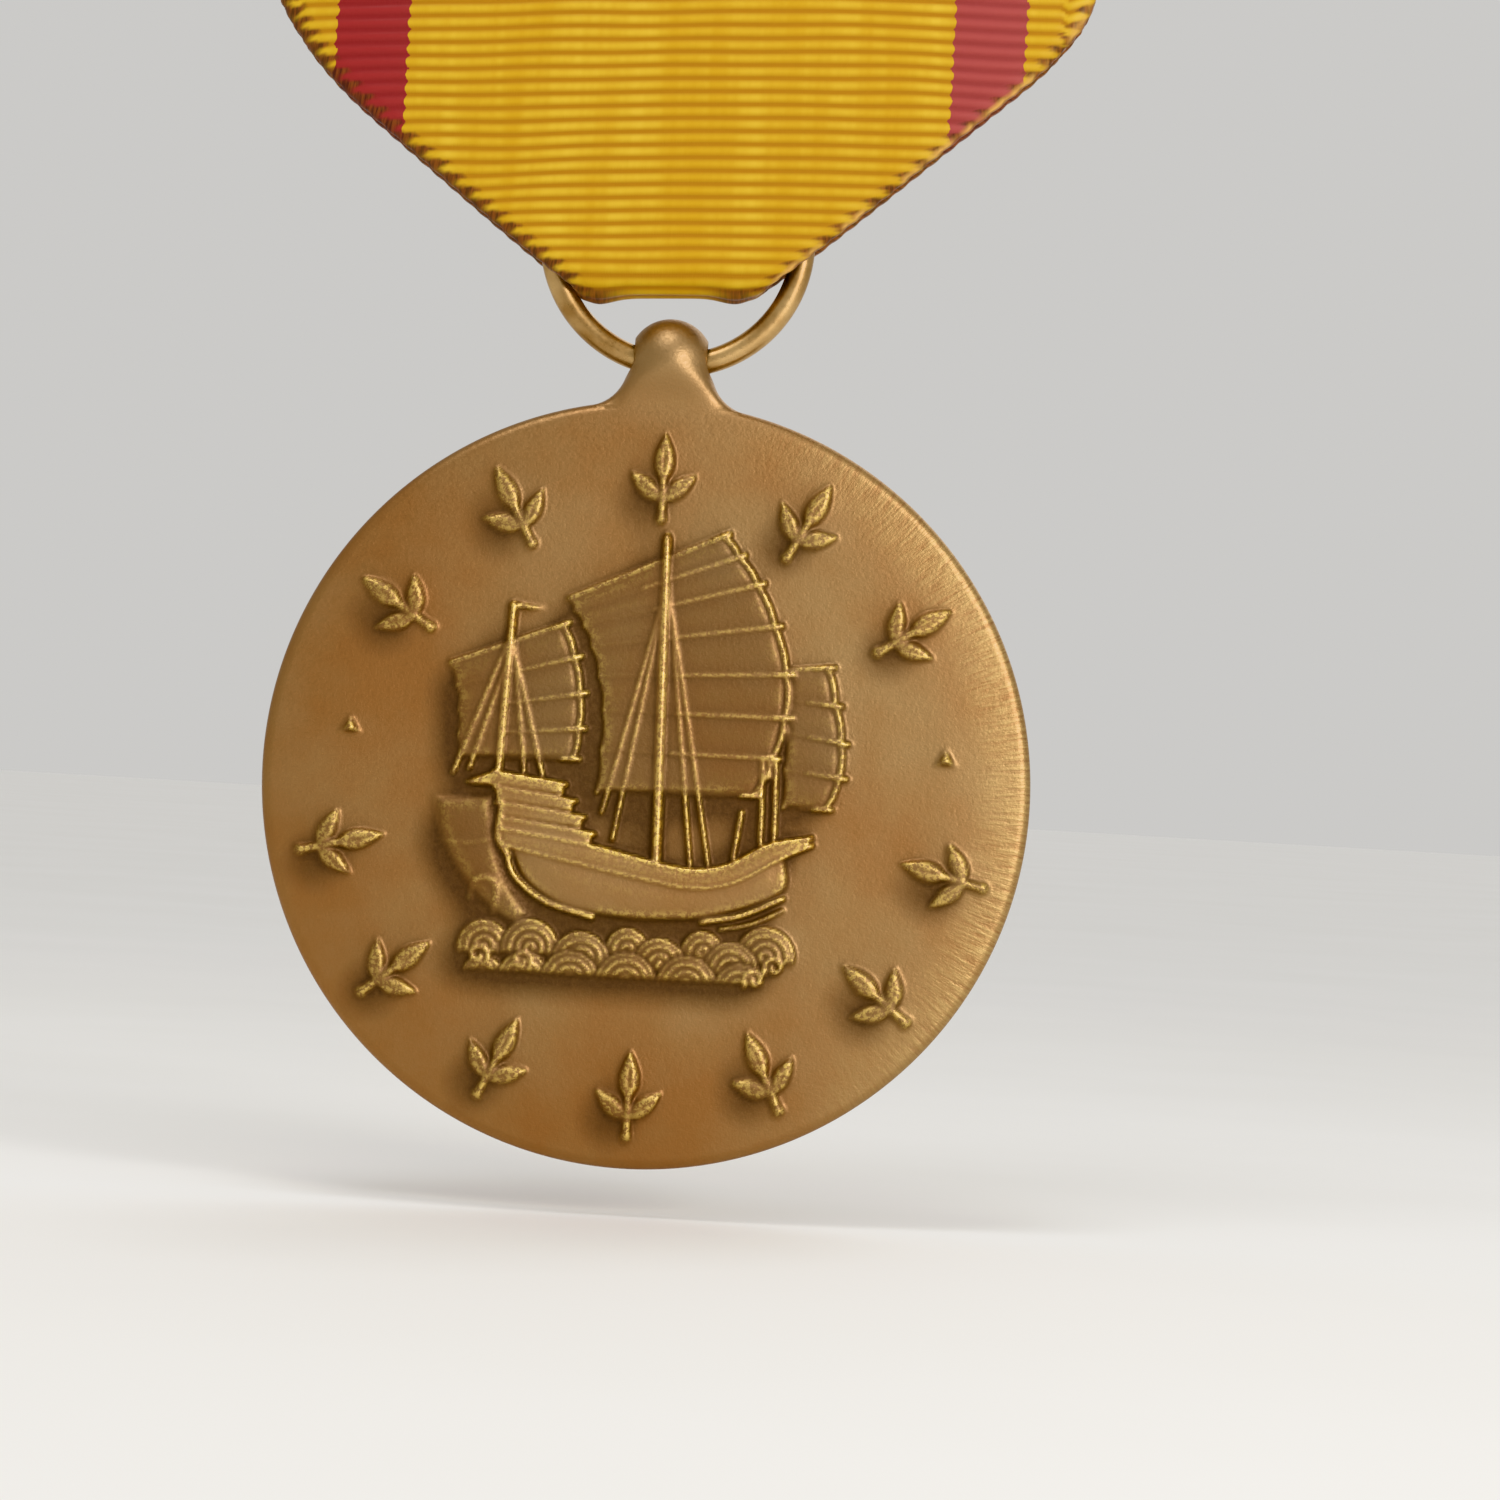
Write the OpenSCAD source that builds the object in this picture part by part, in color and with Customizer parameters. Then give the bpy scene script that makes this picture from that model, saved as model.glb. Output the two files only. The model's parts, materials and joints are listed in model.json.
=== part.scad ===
// Full-size campaign medal on a folded ribbon drape with a wrap brooch.
// The medal hangs as worn: +Z is up, +X is the wearer's left seen from the
// front, and the front faces -Y. The origin is the middle of the pin's shank.

/* [Medal] */
// Diameter of the struck planchet
medal_d = 31.75; // [30:0.05:33]
// Thickness from the front field to the rim of the reverse
medal_t = 2.5; // [2.2:0.1:2.8]
// Radius of the planchet's softened edges
medal_edge_r = 0.4; // [0.2:0.05:0.6]
// Highest point of the ship above the front field
relief_h = 0.6; // [0.4:0.05:0.7]
// Width of the flat rim on the reverse
rim_w = 1.5; // [1.2:0.1:2]
// Depth of the reverse field below its rim
back_field_depth = 0.3; // [0.2:0.05:0.4]

/* [Lug] */
// Diameter of the round knob on top of the planchet
lug_d = 3.5; // [3.3:0.1:3.7]
// Diameter of the side-to-side hole in the knob
lug_hole_d = 1.7; // [1.6:0.05:1.8]
// Width of the neck where it meets the planchet
lug_foot_w = 5.6; // [5:0.1:6.5]
// Distance from the planchet's top edge up to the middle of the knob
lug_rise = 1.7; // [1.5:0.05:2]

/* [Ring] */
// Diameter of the ring's wire
wire_d = 1.0; // [0.9:0.05:1.1]
// Diameter of the ring, wire centre to wire centre
ring_mid_d = 10.4; // [10.2:0.1:10.6]
// Width of the butt joint where the wire's ends meet
ring_joint_gap = 0.1; // [0.05:0.05:0.2]

/* [Ribbon] */
// Width of the ribbon
ribbon_w = 33.8; // [33.5:0.1:35]
// Height of the finished drape
ribbon_h = 35; // [32:0.5:38]
// Width of the drape's narrow bottom edge
point_w = 6.6; // [6:0.1:7]
// Angle between the drape's diagonal sides and the horizontal
diagonal_angle = 41; // [40:0.5:45]
// Radius of the turn from the drape's upright sides into its diagonals
shoulder_r = 5.5; // [3:0.5:6]
// Thickness of one layer of ribbon
cloth_t = 0.38; // [0.3:0.02:0.42]
// Thickness of the drape where it holds the ring
drape_t = 2.92; // [2.8:0.02:3.1]
// Height of the ring's centre above the drape's bottom edge
ring_above_point = 2.7; // [2.6:0.1:2.9]
// Height of the drape's top edge above the pin
top_above_pin = 5; // [4.5:0.1:5.5]

/* [Brooch] */
// Width of the bar inside the ribbon's top fold
bar_w = 33.2; // [32:0.1:33.4]
// Height of that bar
bar_h = 8; // [7:0.1:9]
// Thickness of that bar
bar_t = 1.2; // [1:0.1:1.4]
// Width of the plate behind the ribbon
plate_w = 32.6; // [32.4:0.1:33]
// Height of that plate
plate_h = 6.4; // [6:0.1:7]
// Thickness of that plate
plate_t = 0.6; // [0.5:0.05:0.8]
// Distance from the plate to the pin's axis
stem_off = 2.4; // [2.2:0.1:2.6]

/* [Pin and catch] */
// Diameter of the pin's shank
stem_d = 0.9; // [0.8:0.05:0.95]
// Length of the shank that passes through cloth
shank_l = 24; // [22:0.5:24]
// Length of the tapered point
point_l = 4.2; // [4:0.1:4.4]
// Outside diameter of the catch's rotor
rotor_d = 2.3; // [2.2:0.05:2.4]
// Outside diameter of the catch's housing
housing_d = 3.5; // [3.4:0.05:3.7]
// Reach of the rotor's thumb tab from the pin's axis
tab_reach = 2.8; // [2.6:0.1:3]

/* [Hidden] */
$fn = 48;

// places
top_t = bar_t + 2 * cloth_t + 0.1;              // drape's thickness round the bar
ribbon_y = -stem_off - plate_t - top_t / 2;     // middle plane of ribbon, ring and medal
top_z = top_above_pin;
point_z = top_z - ribbon_h;
shoulder_z = point_z + (ribbon_w - point_w) / 2 * tan(diagonal_angle);
shoulder_turn = 90 - diagonal_angle;
shoulder_top_z = shoulder_z + shoulder_r * tan(shoulder_turn / 2);
ring_z = point_z + ring_above_point;
knob_drop = 0.15;                               // knob hole above the ring's lowest point
knob_z = ring_z - ring_mid_d / 2 + knob_drop;
medal_z = knob_z - lug_rise - medal_d / 2;
rivet_x = -shank_l / 2 - 2.6;                   // the pin's hinge
catch_x = shank_l / 2 + 2.3;                    // middle of the catch
plate_front_y = ribbon_y + top_t / 2;           // where the back plate touches the cloth

// stitches
stitch_d = 0.24;
stitch_l = 1.3;
leg_l = 0.4;                                    // how deep a stitch's legs go into the cloth

// back plate's prongs
prong_d = 1.0;
prong_tip_y = ribbon_y - bar_t / 2 + 0.35;

// hinge of the pin
ear_room = 0.1;                                 // pin's eye between the ears
ear_gap = stem_d + 2 * ear_room;
ear_t = 0.5;
ear_r = 1.4;
rivet_d = 0.8;
rivet_room = 0.07;                              // rivet in the pin's eye
eye_r = 1.25;

// catch
housing_l = 2.8;
rotor_l = 3.4;
window_l = 1.2;                                 // opening that the thumb tab moves in
window_front_y = -0.8;
slot_w = stem_d + 0.3;
rotor_bore_d = stem_d + 0.4;
tab_w = 1.0;
tab_t = 0.6;
tab_angle = -75;                                // from +Y towards +Z when the catch is open
turn_room = 0.05;                               // rotor in housing

// clearances
ring_room = 0.2;                                // cloth to wire, all round
bar_room = 0.05;                                // bar in the ribbon's top fold
slip = 0.02;                                    // parts pushed together at assembly
embed = 0.05;                                   // how far raised shapes reach into their base
past = 1;                                       // how far a cut reaches past what it cuts

// colours
bronze = [0.60, 0.44, 0.25];
brass = [0.78, 0.62, 0.32];
steel = [0.75, 0.74, 0.72];
yellow = [0.80, 0.60, 0.12];
thread = [0.74, 0.54, 0.14];

// ---- shared shapes ----

// Points of a curve from a to b that bulges by the given amount to the left of its way.
function bow(a, b, bulge, steps = 6) =
    let (d = b - a, side = [-d.y, d.x] / norm(d))
    [for (i = [0:steps]) let (t = i / steps) a + d * t + side * bulge * 4 * t * (1 - t)];

// Points of an arc round a centre, from one angle to another.
function arc(centre, r, from, to, steps = 8) =
    [for (i = [0:steps]) let (a = from + (to - from) * i / steps) centre + r * [cos(a), sin(a)]];

// Points mirrored to the other side of the upright axis, in the opposite order.
function mirrored(points) = [for (i = [len(points) - 1:-1:0]) [-points[i].x, points[i].y]];

// A pointed leaf whose base is at the origin and whose tip is at +Y.
module leaf(l, w) {
    r = (l * l / 4 + w * w / 4) / w;
    translate([0, l / 2]) intersection() {
        translate([r - w / 2, 0]) circle(r);
        translate([w / 2 - r, 0]) circle(r);
    }
}

// A straight bar between two points of a drawing.
module stroke(a, b, w) {
    d = b - a;
    translate(a) rotate(atan2(d.y, d.x)) translate([0, -w / 2]) square([norm(d), w]);
}

// Lays a drawing on the front field, h proud of it.
module on_front(h) {
    translate([0, ribbon_y - medal_t / 2 + embed, medal_z])
        rotate([90, 0, 0]) linear_extrude(h + embed) children();
}

// Lays a drawing on the reverse field, h proud of it.
module on_back(h) {
    translate([0, ribbon_y + medal_t / 2 - back_field_depth - embed, medal_z])
        rotate([90, 0, 180]) linear_extrude(h + embed) children();
}

module rounded_square(w, h, r) {
    square([w - 2 * r, h], center = true);
    square([w, h - 2 * r], center = true);
    for (sx = [-1, 1], sy = [-1, 1])
        translate([sx * (w / 2 - r), sy * (h / 2 - r)]) circle(r);
}

// ---- medal ----

module planchet() {
    r = medal_d / 2;
    e = medal_edge_r;
    h = medal_t / 2;
    translate([0, ribbon_y, medal_z]) rotate([90, 0, 0]) rotate_extrude($fn = 96) {
        translate([0, -h]) square([r - e, 2 * h]);
        translate([0, -h + e]) square([r, 2 * (h - e)]);
        for (s = [-1, 1]) translate([r - e, s * (h - e)]) circle(e);
    }
}

// The knob, and a neck whose two hollow sides run out to the planchet's edge.
module lug() {
    neck_t = medal_t - 0.4;
    neck_w = lug_d * 0.9;
    neck_h = lug_rise + 0.3;
    foot_z = -lug_rise - 0.6;                       // the neck's foot, inside the planchet
    fillet = (lug_foot_w - neck_w) / 2;
    fillet_z = -lug_rise - 0.25 + fillet;           // its foot meets the planchet's edge
    translate([0, ribbon_y, knob_z]) {
        sphere(d = lug_d);
        rotate([90, 0, 0]) linear_extrude(neck_t, center = true) difference() {
            translate([-lug_foot_w / 2, foot_z]) square([lug_foot_w, neck_h]);
            for (s = [-1, 1]) translate([s * (neck_w / 2 + fillet), fillet_z]) {
                circle(fillet);
                translate([-fillet, 0]) square([2 * fillet, lug_rise]);
            }
        }
    }
}

// One leaf sprig of the border, standing upright at the origin.
module sprig() {
    stroke([0, -1.6], [0, -0.2], 0.3);
    translate([0, -0.3]) leaf(2.0, 0.8);
    for (s = [-1, 1]) translate([0, -1.1]) rotate(-48 * s) leaf(1.7, 0.7);
}

// Five sprigs above, seven below, and a stud between them on either side.
module border() {
    sprig_r = 12.7;
    stud_r = 12.4;
    for (i = [-2:2]) rotate(-28.5 * i) translate([0, sprig_r]) sprig();
    for (i = [-3:3]) rotate(180 - 25.4 * i) translate([0, sprig_r]) rotate(180) sprig();
    for (s = [-1, 1]) rotate(82 * s) translate([0, stud_r]) circle(0.4);
}

// The three sails. Each has a straight luff from foot to head and a bulging leech
// from peak to clew: foot, head, peak, clew and bulge.
SAILS = [
    [[-2.0, -0.5], [-3.4, 7.4], [2.7, 10.2], [4.3, -0.2], 1.7],
    [[-7.8, 0.6], [-8.2, 4.5], [-3.8, 6.3], [-3.0, 0.9], 0.6],
    [[5.75, -0.7], [5.75, 5.0], [7.2, 5.2], [7.4, -0.6], 0.6],
];

module sails() {
    for (s = SAILS) polygon(concat([s[0], s[1]], bow(s[2], s[3], s[4])));
}

// Bars across each sail that stand out a little past its leech.
module battens() {
    past_leech = 0.3;
    for (s = SAILS) {
        leech = bow(s[2], s[3], s[4]);
        last = len(leech) - 1;
        for (i = [1:last - 1]) {
            start = s[1] + (s[0] - s[1]) * i / last;
            way = leech[i] - start;
            stroke(start, leech[i] + way / norm(way) * past_leech, 0.22);
        }
    }
}

module masts() {
    stroke([0.4, 10.3], [0.6, -3.4], 0.4);
    stroke([-5.8, 7.2], [-6.1, -0.3], 0.35);
    stroke([5.1, 1.5], [5.3, -2.4], 0.3);
}

module shrouds() {
    for (foot = [[-1.7, -2.4], [-0.8, -2.7], [2.0, -3.2], [2.8, -3.1]])
        stroke([0.45, 7.6], foot, 0.2);
    for (foot = [[-7.8, 0.0], [-7.0, 0.0], [-5.0, 0.0], [-4.2, 0.0]])
        stroke([-5.9, 5.3], foot, 0.2);
}

// The ship's side, its stern and three steps of deck house.
module hull_side() {
    deck_h = 0.6;
    polygon(concat(bow([-5.9, -2.3], [6.7, -1.9], -1.6), bow([5.8, -4.4], [-4.3, -5.4], -0.6)));
    polygon([[-9.0, -0.7], [-6.1, -0.5], [-4.3, -5.5], [-6.4, -5.5], [-8.1, -3.1]]);
    for (i = [0:2]) translate([-6.2, -2.6 + i * deck_h]) square([4.1 - i * 0.8, deck_h + embed]);
}

// Rows of scalloped waves, each two rings of a half circle.
module waves() {
    crest_r = 1.45;
    ring_w = 0.3;
    pitch = 2.7;
    for (row = [0:1], i = [0:4 - row])
        translate([-5.4 + pitch * (i + row / 2), -7.1 - 0.75 * row]) intersection() {
            for (r = [crest_r, crest_r * 0.55]) difference() {
                circle(r);
                circle(r - ring_w);
            }
            translate([-crest_r, 0]) square([2 * crest_r, crest_r]);
        }
}

// Paired leaves on a round stem that is open at the top, and a blank tablet.
module wreath() {
    stem_r = 11.2;
    stem_w = 0.5;
    pairs = 10;
    difference() {
        circle(stem_r + stem_w / 2, $fn = 96);
        circle(stem_r - stem_w / 2, $fn = 96);
        translate([0, stem_r]) square([4, 4], center = true);
    }
    for (s = [-1, 1], i = [0:pairs - 1])
        rotate(s * (170 - i * 15)) translate([0, stem_r]) {
            rotate(s * 62) leaf(2.7, 1.0);
            rotate(s * 118) leaf(2.7, 1.0);
        }
    rounded_square(12, 5, 0.8);
}

module medal_disc() {
    color(bronze) {
        difference() {
            union() {
                planchet();
                lug();
            }
            translate([0, ribbon_y, knob_z]) rotate([0, 90, 0])
                cylinder(d = lug_hole_d, h = 2 * lug_d, center = true);
            translate([0, ribbon_y + medal_t / 2 + past, medal_z]) rotate([90, 0, 0])
                cylinder(r = medal_d / 2 - rim_w, h = past + back_field_depth, $fn = 96);
        }
        on_front(relief_h * 0.6) border();
        on_front(relief_h * 0.4) sails();
        on_front(relief_h * 0.6) battens();
        on_front(relief_h * 0.8) shrouds();
        on_front(relief_h) masts();
        on_front(relief_h * 0.85) hull_side();
        on_front(relief_h * 0.6) waves();
        on_back(back_field_depth - 0.05) wreath();
    }
}

// ---- ring ----

module suspension_ring() {
    color(brass) translate([0, ribbon_y, ring_z]) difference() {
        rotate([90, 0, 0]) rotate_extrude($fn = 96) translate([ring_mid_d / 2, 0]) circle(d = wire_d);
        translate([0, 0, ring_mid_d / 2]) cube([ring_joint_gap, 2 * wire_d, 2 * wire_d], center = true);
    }
}

// ---- ribbon ----

// Outline of the drape seen from the front.
module drape_outline() {
    centre = [ribbon_w / 2 - shoulder_r, shoulder_top_z];
    side = concat([[ribbon_w / 2, top_z]], arc(centre, shoulder_r, 0, -shoulder_turn),
                  [[point_w / 2, point_z]]);
    polygon(concat(side, mirrored(side)));
}

// Section of the drape seen from the side, shrunk by inset.
module drape_section(inset) {
    top_r = top_t / 2;
    low_r = drape_t / 2;
    a = top_r - inset;
    b = low_r - inset;
    taper_top = top_z - bar_h - 1;
    translate([0, top_z - top_r]) circle(a);
    translate([0, point_z + low_r]) circle(b);
    polygon([[-a, top_z - top_r], [-a, taper_top], [-b, shoulder_z], [-b, point_z + low_r],
             [b, point_z + low_r], [b, shoulder_z], [a, taper_top], [a, top_z - top_r]]);
}

// The section drawn by children, carried across the width w.
module across(w) {
    translate([-w / 2, ribbon_y, 0]) rotate([90, 0, 90]) linear_extrude(w) children();
}

module prong_places() {
    for (sx = [-1, 1], sz = [-1, 1])
        translate([sx * plate_w * 0.3, 0, sz * plate_h * 0.27]) children();
}

module ribbon() {
    channel_w = wire_d + 3 * ring_room;
    channel_t = wire_d + 2 * ring_room;
    color(yellow) difference() {
        intersection() {
            across(ribbon_w) drape_section(0);
            translate([0, ribbon_y + drape_t, 0]) rotate([90, 0, 0])
                linear_extrude(2 * drape_t) drape_outline();
        }
        difference() {
            across(ribbon_w + 2 * past) drape_section(cloth_t);
            translate([-ribbon_w, ribbon_y - drape_t, point_z])
                cube([2 * ribbon_w, 2 * drape_t, shoulder_top_z - point_z]);
        }
        translate([0, ribbon_y, ring_z]) rotate([90, 0, 0]) rotate_extrude($fn = 96)
            translate([ring_mid_d / 2, 0]) square([channel_w, channel_t], center = true);
        prong_places() translate([0, ribbon_y, 0]) rotate([-90, 0, 0])
            cylinder(d = prong_d + 2 * slip, h = top_t);
    }
}

// ---- stitches ----

// One stitch lying along X on a surface that faces +Y, its two legs in the cloth.
module stitch() {
    rotate([0, 90, 0]) cylinder(d = stitch_d, h = stitch_l, center = true, $fn = 16);
    for (s = [-1, 1]) translate([s * (stitch_l - stitch_d) / 2, 0, 0]) rotate([90, 0, 0])
        cylinder(d = stitch_d, h = leg_l, $fn = 16);
}

// Two rows inside the diagonals, behind, that leave out the stretch over the ring.
module drape_stitches() {
    count = 8;
    inset = 1.6;
    start = 2.4;
    pitch = 2.1;
    a = diagonal_angle;
    color(thread) for (side = [-1, 1], i = [0:count - 1]) {
        along = start + i * pitch;
        x = point_w / 2 + along * cos(a) - inset * sin(a);
        z = point_z + along * sin(a) + inset * cos(a);
        if (norm([x, z - ring_z]) > ring_mid_d / 2 + wire_d)
            translate([side * x, ribbon_y + drape_t / 2, z]) rotate([0, -a * side, 0]) stitch();
    }
}

// One row of slanting stitches behind, under the back plate.
module seam_stitches() {
    count = 13;
    pitch = 2.5;
    slant = 20;
    z = -plate_h / 2 - 1.1;
    color(thread) for (i = [0:count - 1])
        translate([(i - (count - 1) / 2) * pitch, plate_front_y, z])
            rotate([0, slant, 0]) stitch();
}

// ---- brooch ----

module brooch_bar() {
    edge = bar_t / 2;
    high = top_z - cloth_t - bar_room;
    low = high - bar_h;
    color(brass) difference() {
        across(bar_w) {
            translate([-edge, low + edge]) square([bar_t, bar_h - 2 * edge]);
            for (z = [low + edge, high - edge]) translate([0, z]) circle(edge);
        }
        prong_places() translate([0, prong_tip_y - bar_room, 0]) rotate([-90, 0, 0])
            cylinder(d = prong_d + 2 * slip, h = bar_t);
    }
}

module brooch_back_plate() {
    corner_r = 1.2;
    color(brass) {
        translate([0, plate_front_y + plate_t, 0]) rotate([90, 0, 0])
            linear_extrude(plate_t) rounded_square(plate_w, plate_h, corner_r);
        prong_places() translate([0, prong_tip_y, 0]) rotate([-90, 0, 0])
            cylinder(d = prong_d, h = plate_front_y + embed - prong_tip_y);
    }
}

// ---- pin and its knuckle ----

module pin_joint() {
    base_t = 0.5;
    color(brass) difference() {
        union() {
            translate([rivet_x - ear_r, -stem_off, -ear_gap / 2 - ear_t])
                cube([2 * ear_r, base_t, ear_gap + 2 * ear_t]);
            for (z = [-ear_gap / 2 - ear_t, ear_gap / 2]) translate([rivet_x, 0, z]) {
                cylinder(r = ear_r, h = ear_t);
                translate([-ear_r, -stem_off, 0]) cube([2 * ear_r, stem_off, ear_t]);
            }
        }
        translate([rivet_x, 0, 0])
            cylinder(d = rivet_d + 2 * slip, h = ear_gap + 2 * ear_t + 2 * past, center = true);
    }
}

module joint_rivet() {
    head_d = 1.6;
    head_h = 0.35;
    head_z = ear_gap / 2 + ear_t;
    color(brass) translate([rivet_x, 0, 0]) {
        cylinder(d = rivet_d, h = 2 * (head_z + embed), center = true);
        for (s = [0, 180]) rotate([s, 0, 0]) translate([0, 0, head_z])
            cylinder(d1 = head_d, d2 = head_d * 0.6, h = head_h);
    }
}

// The pin: flattened eye, collar, shank and tapered point.
module pin_stem() {
    collar_l = 0.6;
    collar_d = stem_d + 0.4;
    tip_r = 0.12;
    color(steel) {
        difference() {
            translate([rivet_x, 0, 0]) {
                cylinder(r = eye_r, h = stem_d, center = true);
                rotate([0, 90, 0]) cylinder(d = stem_d, h = -shank_l / 2 - rivet_x);
            }
            translate([rivet_x, 0, 0])
                cylinder(d = rivet_d + 2 * rivet_room, h = stem_d + 2 * past, center = true);
        }
        translate([-shank_l / 2 - collar_l, 0, 0]) rotate([0, 90, 0])
            cylinder(d = collar_d, h = collar_l);
        rotate([0, 90, 0]) cylinder(d = stem_d, h = shank_l, center = true);
        translate([shank_l / 2, 0, 0]) rotate([0, 90, 0]) {
            cylinder(d1 = stem_d, r2 = tip_r, h = point_l);
            translate([0, 0, point_l]) sphere(tip_r);
        }
    }
}

// ---- safety catch ----

// A slot from the stem's axis out to +Y.
module pin_slot(w, l) {
    translate([-l / 2, 0, -w / 2]) cube([l, housing_d, w]);
}

module catch_housing() {
    foot_w = 2.6;
    color(brass) translate([catch_x, 0, 0]) difference() {
        union() {
            rotate([0, 90, 0]) cylinder(d = housing_d, h = housing_l, center = true);
            translate([-housing_l / 2, -stem_off, -foot_w / 2]) cube([housing_l, stem_off, foot_w]);
        }
        rotate([0, 90, 0])
            cylinder(d = rotor_d + 2 * turn_room, h = housing_l + 2 * past, center = true);
        pin_slot(slot_w + 2 * turn_room, housing_l + 2 * past);
        translate([-window_l / 2, window_front_y, -housing_d])
            cube([window_l, 2 * housing_d, 2 * housing_d]);
    }
}

// A sleeve with a slot, and a thumb tab that stands out through the housing's window.
module catch_rotor() {
    tab_root = rotor_d / 2 - 0.15;
    color(brass) translate([catch_x, 0, 0]) {
        difference() {
            rotate([0, 90, 0]) cylinder(d = rotor_d, h = rotor_l, center = true);
            rotate([0, 90, 0]) cylinder(d = rotor_bore_d, h = rotor_l + 2 * past, center = true);
            pin_slot(slot_w, rotor_l + 2 * past);
        }
        rotate([tab_angle, 0, 0]) translate([-tab_w / 2, tab_root, -tab_t / 2])
            cube([tab_w, tab_reach - tab_root, tab_t]);
    }
}

medal_disc();
suspension_ring();
ribbon();
drape_stitches();
seam_stitches();
brooch_bar();
brooch_back_plate();
pin_joint();
joint_rivet();
pin_stem();
catch_housing();
catch_rotor();
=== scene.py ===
"""The looks of a campaign medal: struck bronze, wire ring, ribbed ribbon and brooch.

Lengths are in millimetres until a mesh is made, where MM turns them into metres.
Places come from the frame's joints and boxes.
"""

import json
import math

import bmesh
import bpy
import numpy as np
from mathutils import Matrix, Vector


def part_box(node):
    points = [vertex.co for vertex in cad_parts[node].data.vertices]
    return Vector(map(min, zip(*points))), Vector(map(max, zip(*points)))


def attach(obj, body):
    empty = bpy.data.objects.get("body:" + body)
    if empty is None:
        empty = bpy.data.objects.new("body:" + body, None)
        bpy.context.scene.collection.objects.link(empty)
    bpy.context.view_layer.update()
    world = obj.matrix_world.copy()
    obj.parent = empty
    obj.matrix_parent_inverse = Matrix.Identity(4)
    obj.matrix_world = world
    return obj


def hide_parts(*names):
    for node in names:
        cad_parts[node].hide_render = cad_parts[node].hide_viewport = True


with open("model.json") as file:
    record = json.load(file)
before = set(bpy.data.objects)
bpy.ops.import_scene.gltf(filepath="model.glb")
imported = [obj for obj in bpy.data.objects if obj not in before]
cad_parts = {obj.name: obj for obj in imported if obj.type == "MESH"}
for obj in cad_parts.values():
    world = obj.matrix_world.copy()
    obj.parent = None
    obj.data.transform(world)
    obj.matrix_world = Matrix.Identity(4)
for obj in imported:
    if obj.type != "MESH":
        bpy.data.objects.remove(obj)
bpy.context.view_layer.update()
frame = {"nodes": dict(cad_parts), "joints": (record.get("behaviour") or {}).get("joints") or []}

MM = 0.001
JOINTS = {j["name"]: j for j in frame["joints"]}


def in_mm(vector):
    """A place given in metres, in millimetres."""
    return np.array(vector, float) / MM


RING_C = in_mm(JOINTS["ring_turn"]["pos_m"])
KNOB_C = in_mm(JOINTS["medal_swing"]["pos_m"])
DISC_LO, DISC_HI = (in_mm(c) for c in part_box("medal_disc"))
DRAPE_LO, DRAPE_HI = (in_mm(c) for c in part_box("ribbon"))
RING_LO, RING_HI = (in_mm(c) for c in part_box("suspension_ring"))

MID_Y = RING_C[1]  # middle plane of ribbon, ring and medal
DISC_R = (DISC_HI[0] - DISC_LO[0]) / 2
DISC_Z = DISC_LO[2] + DISC_R  # height of the planchet's centre
HALF_T = 1.25  # half the planchet's thickness
EDGE_R = 0.45  # softened edge of the planchet
RIM_FALL = 0.14  # how far the front field falls away at the rim
RIM_FROM = 12.0  # radius where it starts to fall
BACK_DEPTH = 0.3  # reverse field below its rim
BACK_RIM_W = 1.5  # width of that rim
BACK_WALL_W = 0.3  # width of the slope from the rim to the field
RELIEF_TOP = MID_Y - DISC_LO[1] - HALF_T
BORDER_R = 12.75  # radius of the row of sprigs
HOLE_R = 0.85  # hole of the lug
FACE_STEPS = 320  # squares along the front face's mesh
MIDDLE_DENSITY = 0.22  # how much closer they are in the middle


# ---- meshes

def add_object(name, points_mm, faces):
    """A mesh object from points in millimetres."""
    mesh = bpy.data.meshes.new(name)
    mesh.from_pydata((np.asarray(points_mm, float) * MM).tolist(), [], faces)
    mesh.validate()
    mesh.polygons.foreach_set("use_smooth", [True] * len(mesh.polygons))
    obj = bpy.data.objects.new(name, mesh)
    bpy.context.scene.collection.objects.link(obj)
    return obj


def grid_faces(rows, cols, start=0, wrap=False, flip=False):
    """Quads of a grid whose points are numbered row by row."""
    last = cols if wrap else cols - 1
    i, j = np.meshgrid(np.arange(rows - 1), np.arange(last), indexing="ij")
    k = (j + 1) % cols
    quads = np.stack([i * cols + j, i * cols + k, (i + 1) * cols + k, (i + 1) * cols + j], -1)
    quads = quads.reshape(-1, 4) + start
    return (quads[:, ::-1] if flip else quads).tolist()


def tube_faces(rows, cols):
    """Quads round a tube, and the two faces that close its ends."""
    ends = [list(range(cols))[::-1], list(range((rows - 1) * cols, rows * cols))]
    return grid_faces(rows, cols, wrap=True) + ends


def clean(obj, distance_mm=1e-4):
    """Merges points that coincide and makes the normals agree."""
    bm = bmesh.new()
    bm.from_mesh(obj.data)
    bmesh.ops.remove_doubles(bm, verts=bm.verts, dist=distance_mm * MM)
    bmesh.ops.dissolve_degenerate(bm, edges=bm.edges, dist=distance_mm * MM)
    bmesh.ops.recalc_face_normals(bm, faces=bm.faces)
    bm.to_mesh(obj.data)
    bm.free()
    obj.data.polygons.foreach_set("use_smooth", [True] * len(obj.data.polygons))


def boolean(obj, other, operation):
    """Joins other to obj, or cuts it away, and removes other."""
    modifier = obj.modifiers.new("cut", "BOOLEAN")
    modifier.operation = operation
    modifier.object = other
    modifier.solver = "MANIFOLD"
    depsgraph = bpy.context.evaluated_depsgraph_get()
    mesh = bpy.data.meshes.new_from_object(obj.evaluated_get(depsgraph))
    obj.modifiers.clear()
    old = obj.data
    obj.data = mesh
    bpy.data.meshes.remove(old)
    bpy.data.objects.remove(other)


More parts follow.
